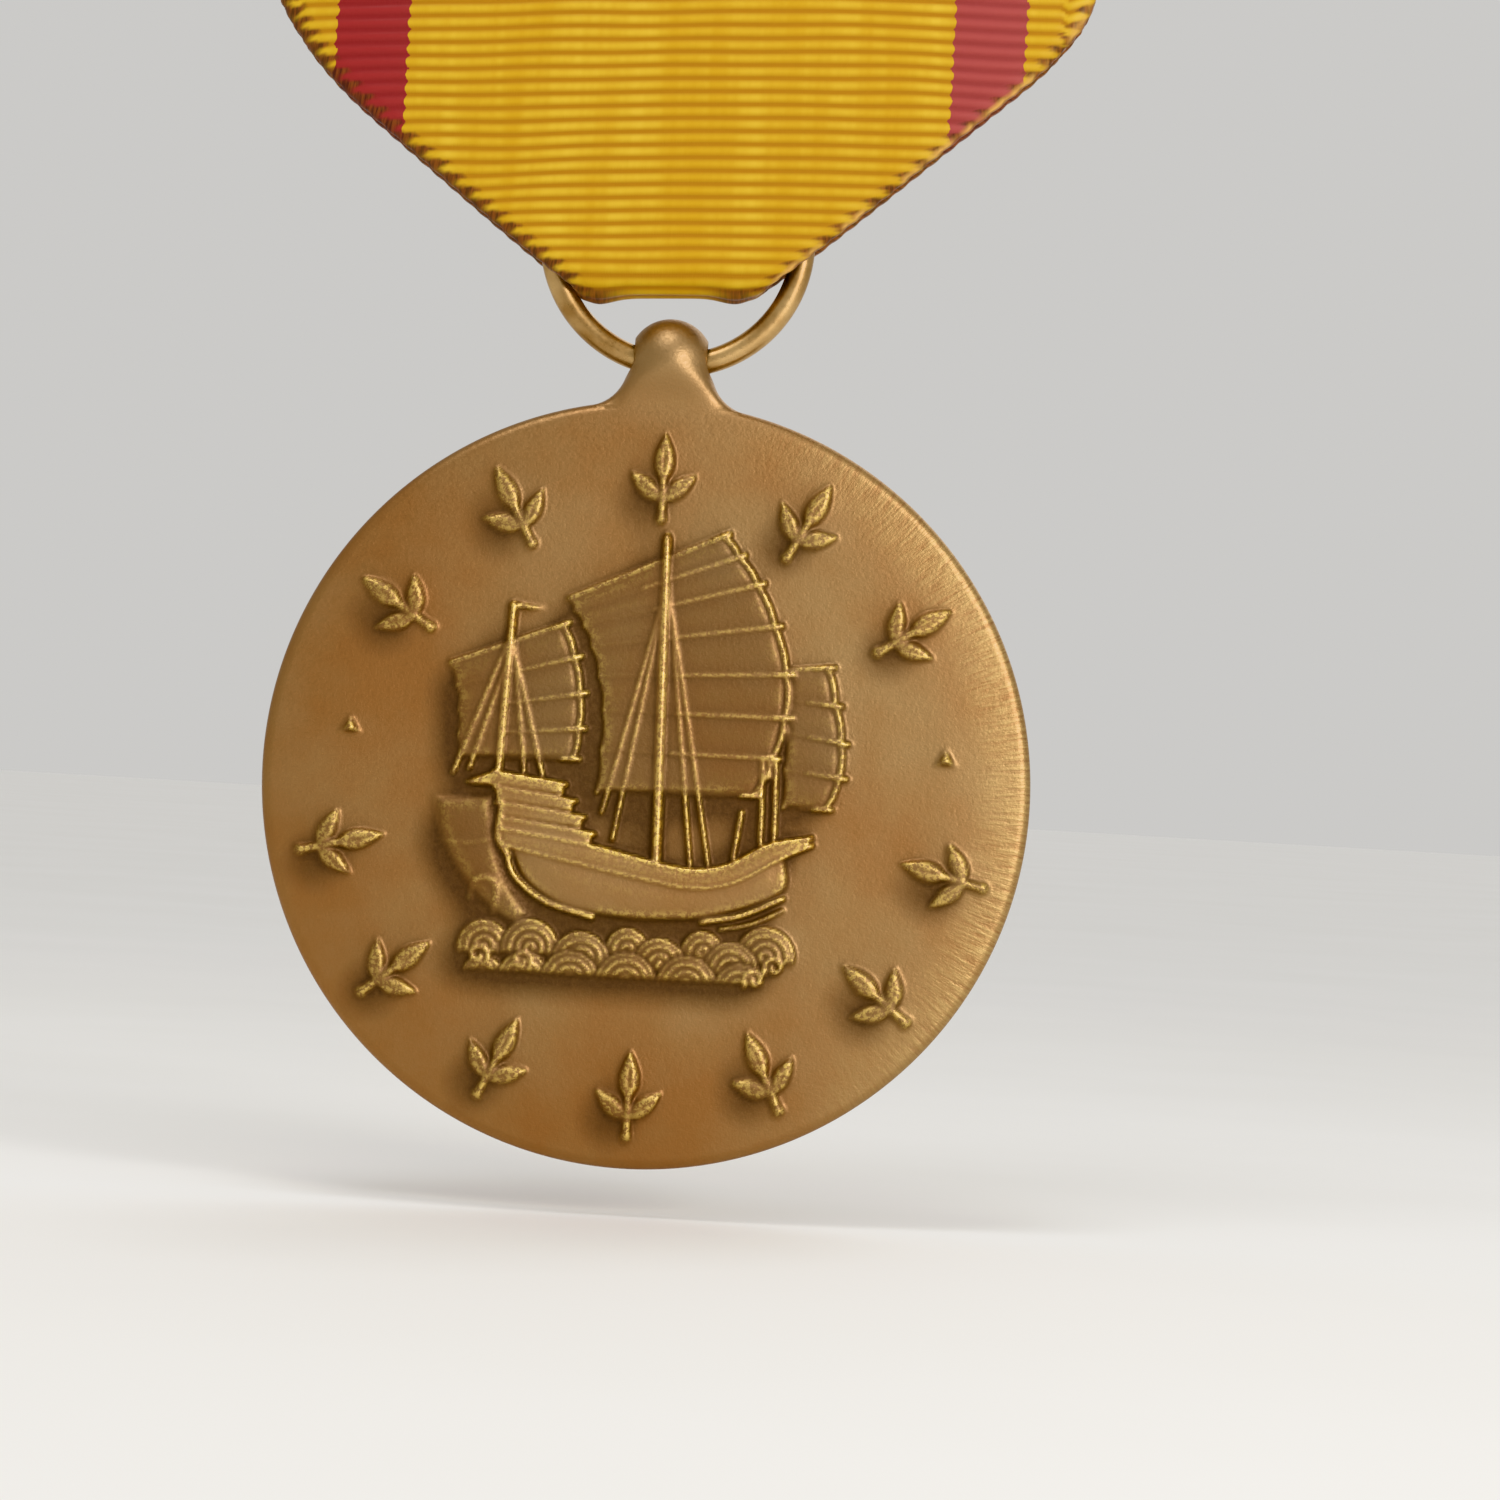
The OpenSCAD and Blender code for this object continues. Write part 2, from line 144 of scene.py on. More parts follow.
def smooth_step(x):
    """0 below 0 and 1 above 1, with a soft rise between them."""
    x = np.clip(x, 0, 1)
    return x * x * (3 - 2 * x)


def mesh_points(obj):
    """The object's points in millimetres."""
    flat = np.empty(len(obj.data.vertices) * 3)
    obj.data.vertices.foreach_get("co", flat)
    return flat.reshape(-1, 3) / MM


def add_attribute(obj, name, values):
    attribute = obj.data.attributes.new(name, "FLOAT", "POINT")
    attribute.data.foreach_set("value", np.asarray(values, np.float32))


# ---- relief

class Relief:
    """Heights over the medal's face, drawn stroke by stroke, on a square canvas."""

    STEP = 0.05  # between the canvas's points

    def __init__(self, half):
        self.half = half
        self.axis = np.arange(-half, half + self.STEP, self.STEP)
        self.height = np.zeros((len(self.axis), len(self.axis)))

    def window(self, points, pad):
        """The part of the canvas round some points, as slices with its coordinates."""
        corners = np.array([np.min(points, 0) - pad, np.max(points, 0) + pad])
        i = np.clip(((corners + self.half) / self.STEP).astype(int), 0, len(self.axis) - 1)
        cols, rows = (slice(i[0, k], i[1, k] + 2) for k in (0, 1))
        u, v = np.meshgrid(self.axis[cols], self.axis[rows])
        return (rows, cols), u, v

    def raise_to(self, part, h):
        self.height[part] = np.maximum(self.height[part], h)

    def ridge(self, points, half_width, taper):
        """A round ridge along a polyline, 1 on its crest, and the part it covers."""
        points = np.asarray(points, float)
        part, u, v = self.window(points, half_width)
        nearest = np.full(u.shape, 1e9)
        for k, (a, b) in enumerate(zip(points[:-1], points[1:])):
            share = k / max(1, len(points) - 1)
            local = half_width * (1 + (taper - 1) * share)
            nearest = np.minimum(nearest, segment_distance(u, v, a, b) / local)
        return part, np.sqrt(np.clip(1 - nearest**2, 0, 1))

    def line(self, points, half_width, height, taper=1.0):
        """A ridge of a given height above the field."""
        part, ridge = self.ridge(points, half_width, taper)
        self.raise_to(part, height * ridge)

    def line_on_top(self, points, half_width, rise, taper=1.0):
        """A ridge that rises above whatever is there."""
        part, ridge = self.ridge(points, half_width, taper)
        self.height[part] += rise * ridge

    def plate(self, outline, height, bevel=0.2, swell=0.0):
        """A raised area with bevelled edges; swell lifts its middle."""
        outline = np.asarray(outline, float)
        part, u, v = self.window(outline, 0.1)
        depth = inside_depth(u, v, outline)
        h = height * smooth_step(depth / bevel) + swell * smooth_step((depth - bevel) / 1.2)
        self.raise_to(part, np.where(depth > 0, h, 0))

    def leaf(self, base, angle, length, width, height):
        """A pointed leaf with a sunk midrib. angle is from +v, clockwise, in degrees."""
        a = math.radians(angle)
        along = np.array([math.sin(a), math.cos(a)])
        tip = np.asarray(base) + along * length
        part, u, v = self.window([base, tip], width)
        p = ((u - base[0]) * along[0] + (v - base[1]) * along[1]) / length
        q = (u - base[0]) * along[1] - (v - base[1]) * along[0]
        half = width / 2 * np.sin(np.pi * np.clip(p, 0, 1) ** 0.8) + 1e-6
        dome = np.sqrt(np.clip(1 - (q / half) ** 2, 0, 1))
        rib = 0.22 * np.exp(-((q / 0.07) ** 2))
        self.raise_to(part, np.where((p > 0) & (p < 1), height * dome * (1 - rib), 0))

    def stud(self, centre, radius, height):
        """A small three-sided stud that comes to a point."""
        part, u, v = self.window([centre], radius)
        turns = np.arange(3) * 2 * math.pi / 3 - math.pi / 2
        reach = np.max([(u - centre[0]) * math.cos(a) + (v - centre[1]) * math.sin(a)
                        for a in turns], 0) / (radius * math.cos(math.pi / 3))
        self.raise_to(part, height * np.clip(1 - reach, 0, 1))

    def billow(self, head, foot, amount):
        """Swells the cloth between two battens, each given by its two ends."""
        outline = np.array([head[0], head[1], foot[1], foot[0]])
        part, u, v = self.window(outline, 0.1)
        depth = inside_depth(u, v, outline)
        to_head = segment_distance(u, v, *head)
        to_foot = segment_distance(u, v, *foot)
        share = to_head / (to_head + to_foot + 1e-9)
        rise = amount * (np.sin(np.pi * share) ** 0.8 + 0.6 * share)
        self.height[part] += np.where(depth > 0, rise * smooth_step(depth / 0.15), 0)

    def soften(self, radius, mound, mound_reach):
        """Rounds the drawing off as striking does, on a low mound that joins it to the field."""
        swell = blurred(np.clip(self.height / 0.2, 0, 1), mound_reach / self.STEP)
        self.height = blurred(self.height, radius / self.STEP) + mound * swell

    def at(self, u, v, values=None):
        """Heights, or other values on the canvas, at places between its points."""
        grid = self.height if values is None else values
        x = np.clip((np.asarray(u) + self.half) / self.STEP, 0, len(self.axis) - 1.001)
        y = np.clip((np.asarray(v) + self.half) / self.STEP, 0, len(self.axis) - 1.001)
        i, j = x.astype(int), y.astype(int)
        fx, fy = x - i, y - j
        low = grid[j, i] * (1 - fx) + grid[j, i + 1] * fx
        high = grid[j + 1, i] * (1 - fx) + grid[j + 1, i + 1] * fx
        return low * (1 - fy) + high * fy


def blurred(grid, sigma):
    """A Gaussian blur, sigma in grid steps."""
    fy = np.fft.fftfreq(grid.shape[0])[:, None]
    fx = np.fft.rfftfreq(grid.shape[1])[None, :]
    keep = np.exp(-2 * (math.pi * sigma) ** 2 * (fx**2 + fy**2))
    return np.fft.irfft2(np.fft.rfft2(grid) * keep, s=grid.shape)


def segment_distance(u, v, a, b):
    d = np.asarray(b, float) - np.asarray(a, float)
    t = ((u - a[0]) * d[0] + (v - a[1]) * d[1]) / max(d @ d, 1e-9)
    t = np.clip(t, 0, 1)
    return np.hypot(u - a[0] - t * d[0], v - a[1] - t * d[1])


def inside_depth(u, v, outline):
    """How deep each place lies inside a closed outline; negative outside it."""
    depth = np.full(u.shape, 1e9)
    inside = np.zeros(u.shape, bool)
    for a, b in zip(outline, np.roll(outline, -1, 0)):
        depth = np.minimum(depth, segment_distance(u, v, a, b))
        crosses = (a[1] > v) != (b[1] > v)
        rise = b[1] - a[1] if b[1] != a[1] else 1e-9
        inside ^= crosses & (u < a[0] + (v - a[1]) * (b[0] - a[0]) / rise)
    return np.where(inside, depth, -depth)


def bow(a, b, bulge, steps=6):
    """Points of a curve from a to b that bulges to the left of its way."""
    a, b = np.asarray(a, float), np.asarray(b, float)
    side = np.array([a[1] - b[1], b[0] - a[0]]) / np.linalg.norm(b - a)
    t = np.linspace(0, 1, steps + 1)[:, None]
    return a + (b - a) * t + side * bulge * 4 * t * (1 - t)


def spline(points, steps=8):
    """A smooth curve through a few points."""
    p = np.asarray(points, float)
    p = np.vstack([2 * p[0] - p[1], p, 2 * p[-1] - p[-2]])
    t = np.linspace(0, 1, steps, endpoint=False)[:, None]
    spans = [0.5 * (2 * b + (c - a) * t + (2 * a - 5 * b + 4 * c - d) * t**2
                    + (3 * b - a - 3 * c + d) * t**3)
             for a, b, c, d in zip(p[:-3], p[1:-2], p[2:-1], p[3:])]
    return np.concatenate([*spans, p[-2:-1]])


def points_at(curve, shares):
    """Places at given shares of a curve's points."""
    index = np.arange(len(curve))
    at = np.asarray(shares) * (len(curve) - 1)
    return np.stack([np.interp(at, index, curve[:, k]) for k in (0, 1)], -1)


def draw_sail(relief, luff, leech, panels, height, crowding=1.0):
    """A battened lug sail between its luff and its leech, both given from head to foot.

    crowding above 1 brings the battens closer together towards the head.
    """
    shares = np.linspace(0, 1, panels + 1) ** crowding
    starts, ends = points_at(luff, shares), points_at(leech, shares)
    outs = (ends - starts) / np.linalg.norm(ends - starts, axis=1)[:, None]
    relief.plate(np.concatenate([starts, ends[::-1]]), height)
    for k in range(panels):
        relief.billow((starts[k], ends[k]), (starts[k + 1], ends[k + 1]), 0.035)
        relief.line(bow(ends[k], ends[k + 1], 0.1), 0.15, height + 0.11)
        relief.line(bow(starts[k], starts[k + 1], 0.1), 0.1, height + 0.03)
    for a, b, out in zip(starts, ends, outs):
        relief.line_on_top([a, b], 0.09, 0.04)
        relief.line_on_top(np.linspace(a * 0.6 + b * 0.4, b, 8), 0.06, 0.06, taper=2)
        relief.line([b - out * 0.45, b, b + out * 0.3], 0.1, height + 0.18, taper=1.5)
    relief.line([starts[0], ends[0]], 0.12, height + 0.07)


def draw_rig(relief):
    """Masts, shrouds and the foredeck's posts."""
    relief.line([[0.3, 10.2], [0.35, 8.0], [0.6, -3.3]], 0.21, 0.42, taper=1.35)
    relief.line([[-5.85, 7.1], [-6.1, -0.1]], 0.19, 0.38, taper=1.1)
    relief.plate([[-5.85, 7.3], [-5.2, 7.22], [-4.3, 7.05], [-5.1, 6.9], [-5.8, 6.95]], 0.3, 0.14)
    shrouds = (((0.2, 7.4), (-1.75, -1.2)), ((0.15, 6.6), (-1.25, -2.3)),
               ((0.5, 8.3), (2.0, -3.2)), ((0.6, 7.6), (2.75, -3.15)),
               ((-6.0, 5.6), (-7.95, 0.1)), ((-5.95, 4.9), (-7.3, 0.3)),
               ((-5.75, 5.6), (-5.0, 0.0)), ((-5.7, 5.2), (-4.2, -0.1)))
    for head, foot in shrouds:
        relief.line([head, foot], 0.105, 0.3)
    for head, foot in (((4.0, -0.9), (3.75, -2.8)), ((4.75, 1.4), (4.85, -2.2)),
                       ((5.3, 1.4), (5.4, -2.1)), ((5.0, 1.5), (5.05, 0.6))):
        relief.line([head, foot], 0.13, 0.31)


def draw_hull(relief):
    """The junk's hull, its stern panel and the steps of its deck house."""
    rail = spline([[-6.0, -2.1], [-2.3, -2.6], [0.6, -3.2], [2.2, -3.4], [3.6, -3.1],
                   [5.2, -2.2], [6.9, -1.8]])
    wale = spline([[-5.8, -2.75], [-2.6, -3.35], [0.2, -3.85], [2.2, -4.1], [3.9, -3.75],
                   [5.6, -2.75], [6.95, -2.1]])
    bottom = spline([[6.05, -2.6], [5.95, -4.2], [3.2, -5.35], [0.6, -5.65], [-1.7, -5.55],
                     [-3.4, -5.2], [-4.8, -4.3], [-5.5, -3.1]])
    relief.plate(np.concatenate([rail[:-6], bottom]), 0.28, 0.3, swell=0.06)
    relief.line(spline([[-5.6, -2.9], [-5.2, -4.0], [-3.9, -5.0], [-1.9, -5.55]]), 0.14, 0.4)
    relief.line(spline([[2.6, -5.5], [4.2, -5.15], [5.9, -4.35]]), 0.12, 0.36)
    relief.line(spline([[3.4, -5.75], [4.7, -5.45], [5.9, -4.85]]), 0.1, 0.22)

    stern = spline([[-8.9, -0.8], [-8.5, -2.6], [-7.5, -4.3], [-6.2, -5.6], [-5.0, -6.3]])
    inner = spline([[-4.2, -5.6], [-5.1, -4.4], [-5.7, -3.0], [-6.1, -0.5]])
    relief.plate(np.concatenate([stern, inner]), 0.2, 0.6)
    relief.line_on_top(spline([[-8.4, -2.7], [-7.2, -2.75], [-5.8, -2.5]]), 0.09, 0.03)
    hook = spline([[-7.0, -5.0], [-6.8, -4.3], [-6.3, -4.15], [-5.9, -4.6], [-6.0, -5.6]])
    relief.line_on_top(hook, 0.15, 0.06)
    gallery = spline([[-7.6, -0.25], [-6.9, 0.1], [-6.2, 0.3], [-6.0, -0.4], [-7.2, -0.45]], 4)
    relief.plate(gallery, 0.42, 0.18)
    relief.line(spline([[-6.15, -0.2], [-5.9, -1.2], [-5.95, -2.4], [-5.5, -3.2]]), 0.17, 0.44)

    relief.plate(np.concatenate([rail, wale[::-1]]), 0.42, 0.16)
    relief.line(rail, 0.13, 0.5)
    relief.line(wale, 0.12, 0.47)

    tiers = 4
    for i in range(tiers):
        left, right = np.array([-6.3 + 0.12 * i, 0.2 - 0.62 * i]), -3.3 + 0.42 * i
        slope = np.array([right - left[0], -0.12 * (right - left[0])])
        step = [left, left + slope, left + slope - [0, 0.5], left - [0, 0.55]]
        relief.plate(step, 0.44 - 0.02 * i, 0.1)
        relief.line([left, left + slope], 0.13, 0.51 - 0.02 * i)


def draw_scallop(relief, centre, radius, low):
    """One wave: rings round a centre, shown down to a level, in front of what is there."""
    pitch = 0.33  # between rings
    part, u, v = relief.window([centre], radius)
    r = np.hypot(u - centre[0], v - centre[1])
    rings = np.abs(np.cos(np.pi * (radius - r - 0.09) / pitch)) ** 1.5
    height = (0.15 + 0.14 * rings) * smooth_step((radius - r) / 0.14)
    fade = smooth_step((v - low) / 0.3)
    relief.height[part] = np.where((r < radius) & (v > low), height * fade, relief.height[part])


def draw_waves(relief):
    """Overlapping rows of waves, the lower rows in front, with small curls at their feet."""
    back = ((-6.3, -7.0, 1.15), (-4.4, -6.95, 1.25), (-0.4, -6.8, 0.95), (2.7, -6.75, 0.95),
            (5.3, -6.8, 1.3))
    middle = ((-2.3, -7.35, 1.25), (0.95, -7.35, 1.15), (3.9, -7.4, 1.2))
    front = ((-6.3, -8.1, 0.85), (-4.6, -8.15, 1.1), (-2.7, -8.15, 1.25), (-0.4, -8.15, 1.3),
             (2.1, -8.15, 1.3), (4.3, -8.15, 1.1))
    foot = -8.1  # where the lowest row is cut off
    for u, v, radius in (*back, *middle, *front):
        draw_scallop(relief, (u, v), radius, max(v - 0.4, foot))
    for u, v, turn in ((-6.5, -7.35, 1), (-4.7, -7.5, 1), (4.9, -7.75, -1), (5.7, -7.2, -1)):
        angle = np.linspace(-0.6, 6.6, 24)
        reach = 0.42 * (1 - angle / 9)
        spiral = np.stack([u + turn * reach * np.cos(angle), v + reach * np.sin(angle)], -1)
        relief.line(spiral, 0.14, 0.33, taper=0.7)


def draw_ship(relief):
    """The bow's sail, the stern's and the main one, with rig and hull before them."""
    draw_sail(relief, spline([[5.75, 5.1], [5.7, 2.5], [5.7, -0.6]]),
              spline([[7.2, 5.25], [7.7, 3.2], [8.0, 1.2], [7.4, -0.6]]), 4, 0.15)
    draw_sail(relief, spline([[-8.3, 4.6], [-7.9, 3.4], [-7.8, 2.0], [-7.8, 0.7]]),
              spline([[-3.8, 6.4], [-3.1, 4.6], [-2.9, 2.6], [-3.1, 0.9]]), 4, 0.16)
    draw_sail(relief, spline([[-3.6, 7.5], [-2.6, 5.8], [-1.9, 3.0], [-2.0, -0.4]]),
              spline([[2.6, 10.4], [4.3, 8.2], [5.5, 5.0], [5.4, 2.2], [4.4, -0.2]]),
              7, 0.18, crowding=1.2)
    draw_rig(relief)
    draw_hull(relief)


def from_top(angle, radius):
    """A place on a circle round the middle. angle is clockwise from the top, in degrees."""
    a = math.radians(angle)
    return np.array([math.sin(a), math.cos(a)]) * radius


def draw_sprig(relief, angle, upright):
    """A stem with three leaves, at a place on the border."""
    centre = from_top(angle, BORDER_R)
    up = from_top(angle, 1) if upright else -from_top(angle, 1)
    turn = angle if upright else angle + 180
    side = np.array([up[1], -up[0]])
    foot = centre - up * 1.75
    relief.line([foot, centre - up * 0.9, centre + up * 0.2], 0.2, 0.27)
    relief.leaf(centre - up * 0.25, turn, 2.05, 0.95, 0.31)
    for s in (-1, 1):
        relief.leaf(centre - up * 1.0 + side * 0.05 * s, turn + 50 * s, 1.75, 0.82, 0.29)
    relief.line([foot, foot + up * 0.01], 0.27, 0.24)


def front_relief():
    """The ship on its waves, inside a border of sprigs with a stud at each side."""
    relief = Relief(DISC_R + 0.5)
    draw_waves(relief)
    draw_ship(relief)
    for i in range(-2, 3):
        draw_sprig(relief, 28.5 * i, True)
    for i in range(-3, 4):
        draw_sprig(relief, 180 + 25.4 * i, False)
    for side in (-1, 1):
        relief.stud(from_top(82 * side, 12.4), 0.55, 0.42)
    relief.soften(0.045, 0.07, 0.45)
    relief.height = np.minimum(relief.height, RELIEF_TOP)
    return relief


def back_relief():
    """A laurel wreath round a blank tablet, all of it lower than the rim."""
    relief = Relief(DISC_R + 0.5)
    stem_r, top = 11.2, BACK_DEPTH - 0.04
    for s in (-1, 1):
        angles = np.radians(np.linspace(172, 18, 40)) * s
        stem = np.stack([np.sin(angles), np.cos(angles)], -1) * stem_r
        relief.line(stem, 0.22, top * 0.8)
        for i in range(12):
            a = 168 - 12.5 * i
            for lean in (-28, 28):
                relief.leaf(from_top(a * s, stem_r), s * (a - 90) + lean, 2.9, 1.15, top)
    turn = np.linspace(0, 2 * math.pi, 64, endpoint=False)
    corner = 0.45  # 1 is an ellipse, less is squarer
    c, s = np.cos(turn), np.sin(turn)
    tablet = np.stack([6 * np.sign(c) * np.abs(c) ** corner,
                       2.6 * np.sign(s) * np.abs(s) ** corner], -1)
    relief.plate(tablet, top)
    relief.soften(0.05, 0, 0.3)
    return relief


# ---- medal

def disc_grid(n):
    """Places of a square grid pressed into a unit circle, closer together in the middle."""
    a = np.linspace(-1, 1, n + 1)
    a = a - MIDDLE_DENSITY * np.sin(np.pi * a) / np.pi
    x, y = np.meshgrid(a, a)
    return x * np.sqrt(1 - y * y / 2), y * np.sqrt(1 - x * x / 2)


def grid_border(n):
    """Numbers of a grid's border points, in order round it."""
    side = n + 1
    bottom = np.arange(n)
    right = np.arange(n) * side + n
    top = n * side + np.arange(n, 0, -1)
    left = np.arange(n, 0, -1) * side
    return np.concatenate([bottom, right, top, left])


def edge_loops(flat_r, around):
    """Rings of points round the planchet's softened edge, from the front to the back."""
    loops = []
    for s, turns in ((-1, np.linspace(0, 90, 6)[1:]), (1, np.linspace(90, 0, 6)[:-1])):
        for a in np.radians(turns):
            r = flat_r + EDGE_R * math.sin(a)
            y = s * (HALF_T - (RIM_FALL if s < 0 else 0) - EDGE_R * (1 - math.cos(a)))
            loops.append(np.stack([r * np.cos(around), np.full_like(around, y),
                                   r * np.sin(around)], -1))
    return loops


def planchet(front, back):
    """The struck disc: two faces of relief and a softened edge, as one closed mesh.

    The back has half as many squares to a side, so three triangles at each of its border's
    points join it to the edge.
    """
    n, half = FACE_STEPS, FACE_STEPS // 2
    flat_r = DISC_R - EDGE_R
    u, v = (w.ravel() * flat_r for w in disc_grid(n))
    fall = RIM_FALL * np.clip((np.hypot(u, v) - RIM_FROM) / (flat_r - RIM_FROM), 0, 1) ** 2
    front_points = np.stack([u, fall - HALF_T - front.at(u, v), v], -1)
    ub, vb = (w.ravel() * flat_r for w in disc_grid(half))
    dish = BACK_DEPTH * smooth_step((DISC_R - BACK_RIM_W - np.hypot(ub, vb)) / BACK_WALL_W)
    back_points = np.stack([ub, HALF_T - dish + back.at(-ub, vb), vb], -1)
    border = grid_border(n)
    loops = edge_loops(flat_r, np.arctan2(v[border], u[border]))

    faces = grid_faces(n + 1, n + 1)
    previous, start = border, len(front_points)
    for _ in loops:
        here = start + np.arange(len(border))
        quads = np.stack([previous, here, np.roll(here, -1), np.roll(previous, -1)], -1)
        faces += quads.tolist()
        previous, start = here, start + len(border)
    faces += grid_faces(half + 1, half + 1, start, flip=True)
    far = start + grid_border(half)
    far_next = np.roll(far, -1)
    near, middle, after = previous[0::2], previous[1::2], np.roll(previous[0::2], -1)
    for a, b, c in ((far, middle, near), (far, far_next, middle), (far_next, after, middle)):
        faces += np.stack([a, b, c], -1).tolist()
    points = np.concatenate([front_points, *loops, back_points])
    return points + [0, MID_Y, DISC_Z], faces


def lug_mesh():
    """The knob and its neck, whose hollow sides run out along the disc's edge."""
    knob_r = DISC_HI[2] - KNOB_C[2]
    knob_v = KNOB_C[2] - DISC_Z
    hollow_r = 1.8  # of the neck's hollow sides
    hollow_u = knob_r + hollow_r
    hollow_v = math.sqrt((DISC_R + hollow_r) ** 2 - hollow_u**2)
    foot_v = hollow_v * DISC_R / (DISC_R + hollow_r)
    root_v = DISC_R - 1.4  # the lug's end, inside the planchet
    squareness = 3.2  # of the neck's section at its foot
    heights = np.concatenate([
        knob_v + knob_r * np.sin(np.radians(np.linspace(90, 0, 26))),
        np.linspace(knob_v, hollow_v, 5)[1:],
        np.linspace(hollow_v, foot_v, 26)[1:],
        np.linspace(foot_v, root_v, 8)[1:],
    ])
    around = np.linspace(0, 2 * math.pi, 96, endpoint=False)
    c, s = np.cos(around), np.sin(around)
    points = []
    for v in heights:
        width = front = back = math.sqrt(max(knob_r**2 - max(v - knob_v, 0) ** 2, 0))
        if v < hollow_v:
            drop = min(hollow_v - v, hollow_v - foot_v)
            width = hollow_u - math.sqrt(hollow_r**2 - drop**2)
        down = float(smooth_step((knob_v - v) / (knob_v - foot_v)))
        if down > 0:
            front += (HALF_T - RIM_FALL - knob_r) * down
            back += (HALF_T - knob_r) * down - 0.03 * max(0, foot_v - v)
        power = 2 / (2 + squareness * down)
        x = width * np.sign(c) * np.abs(c) ** power
        y = np.where(s < 0, front, back) * np.sign(s) * np.abs(s) ** power
        points.append(np.stack([x, y + MID_Y, np.full_like(x, v + DISC_Z)], -1))
    rows, cols = len(points), len(around)
    faces = grid_faces(rows, cols, wrap=True)
    faces.append(list(range((rows - 1) * cols, rows * cols))[::-1])
    return np.concatenate(points), faces


def turned(profile, axis_point, name):
    """A closed solid of revolution about X. profile is [x, radius] from end to end."""
    angle = np.linspace(0, 2 * math.pi, 64, endpoint=False)
    points = [np.stack([np.full(len(angle), x), r * np.cos(angle), r * np.sin(angle)], -1)
              for x, r in profile]
    faces = tube_faces(len(profile), len(angle))
    obj = add_object(name, np.concatenate(points) + axis_point, faces)
    clean(obj)
    return obj


def make_medal():
    front, back = front_relief(), back_relief()
    medal = add_object("medal", *planchet(front, back))
    clean(medal)
    lug = add_object("lug", *lug_mesh())
    clean(lug, 1e-3)
    mouth = [[x, HOLE_R + 0.05 * smooth_step((abs(x) - 0.9) / 0.85) + 0.4 * max(0, abs(x) - 1.75)]
             for x in np.linspace(-2.4, 2.4, 33)]
    boolean(lug, turned(mouth, KNOB_C, "hole"), "DIFFERENCE")
    boolean(medal, lug, "UNION")
    clean(medal)
    paint_relief(medal, front, back)
    return medal


def relief_marks(relief, mirror, tint):
    """How much each place on a face is lightened, and how much it is darkened.

    The lightening is wear on the crests plus a painted highlight, greater on slopes that face right
    or up, towards the light. The darkening is patina in the hollows plus a painted shadow below and
    to the left of raised areas; tint darkens the flat raised areas.
    """
    h = relief.height
    fine = h - blurred(h, 0.2 / relief.STEP)
    broad = h - blurred(h, 0.9 / relief.STEP)
    shadow_shift = int(0.8 / relief.STEP)  # painted shadow falls below and to the left of raised areas
    shadow_below_left = np.roll(blurred(h, 0.7 / relief.STEP), (-shadow_shift, -shadow_shift), (0, 1))
    down_v, down_u = np.gradient(-blurred(h, 0.06 / relief.STEP), relief.STEP)
    # Painted highlight: how much a slope faces right or up, towards the light; such slopes are
    # lightened more.
    bright = np.clip(0.5 + mirror * down_u * 0.6 + down_v * 0.4, 0, 1)
    high = np.clip(fine / 0.1, 0, 1) * (0.35 + 0.65 * np.clip((h - 0.15) / 0.25, 0, 1))
    high = high * (0.45 + 0.75 * bright)
    low = 0.35 * np.clip(-fine / 0.08, 0, 1) + 0.3 * np.clip(-broad / 0.16, 0, 1)
    # Painted shadow: the low field below and to the left of a raised area is darkened.
    low += np.clip((shadow_below_left - 0.05) / 0.16, 0, 1) * np.clip((0.16 - h) / 0.12, 0, 1)
    low += tint * np.clip((h - 0.08) / 0.05, 0, 1) * np.clip((0.36 - h) / 0.06, 0, 1)
    return high, low


def paint_relief(medal, front, back):
    """Marks raised edges, lightened by wear and by a painted highlight, and hollows, which hold the
    dark patina, together with a painted shadow below and to the left of raised areas.
    """
    points = mesh_points(medal) - [0, MID_Y, DISC_Z]
    u, v = points[:, 0], points[:, 2]
    raised, patina_and_shadow = np.zeros((2, len(points)))
    for relief, side, mirror, tint in ((front, points[:, 1] < 0, 1, 0.55),
                                       (back, points[:, 1] >= 0, -1, 0)):
        high, low = relief_marks(relief, mirror, tint)
        raised[side] = relief.at(mirror * u[side], v[side], high)
        patina_and_shadow[side] = relief.at(mirror * u[side], v[side], low)
    # The first mark is wear and a painted highlight; the second is patina and a painted shadow.
    add_attribute(medal, "raised", np.clip(raised, 0, 1))
    add_attribute(medal, "patina_and_shadow", np.clip(patina_and_shadow, 0, 1))


# ---- ring

def make_ring():
    """A drawn wire bent to a circle, its ends meeting inside the ribbon."""
    wire_r = (RING_HI[1] - RING_LO[1]) / 2
    ring_r = (RING_HI[0] - RING_LO[0]) / 2 - wire_r
    half_gap = math.asin(0.05 / ring_r)
    turns = np.linspace(math.pi / 2 + half_gap, 2.5 * math.pi - half_gap, 241)
    around = np.linspace(0, 2 * math.pi, 28, endpoint=False)
    points = []
    for k, t in enumerate(turns):
        from_end = min(k, len(turns) - 1 - k)
        r = wire_r * (1 - 0.12 * max(0, 1 - from_end / 2))
        out = ring_r + r * np.cos(around)
        points.append(np.stack([out * math.cos(t), r * np.sin(around), out * math.sin(t)], -1))
    faces = tube_faces(len(points), len(around))
    obj = add_object("ring", np.concatenate(points) + RING_C, faces)
    clean(obj)
    return obj


# ---- ribbon

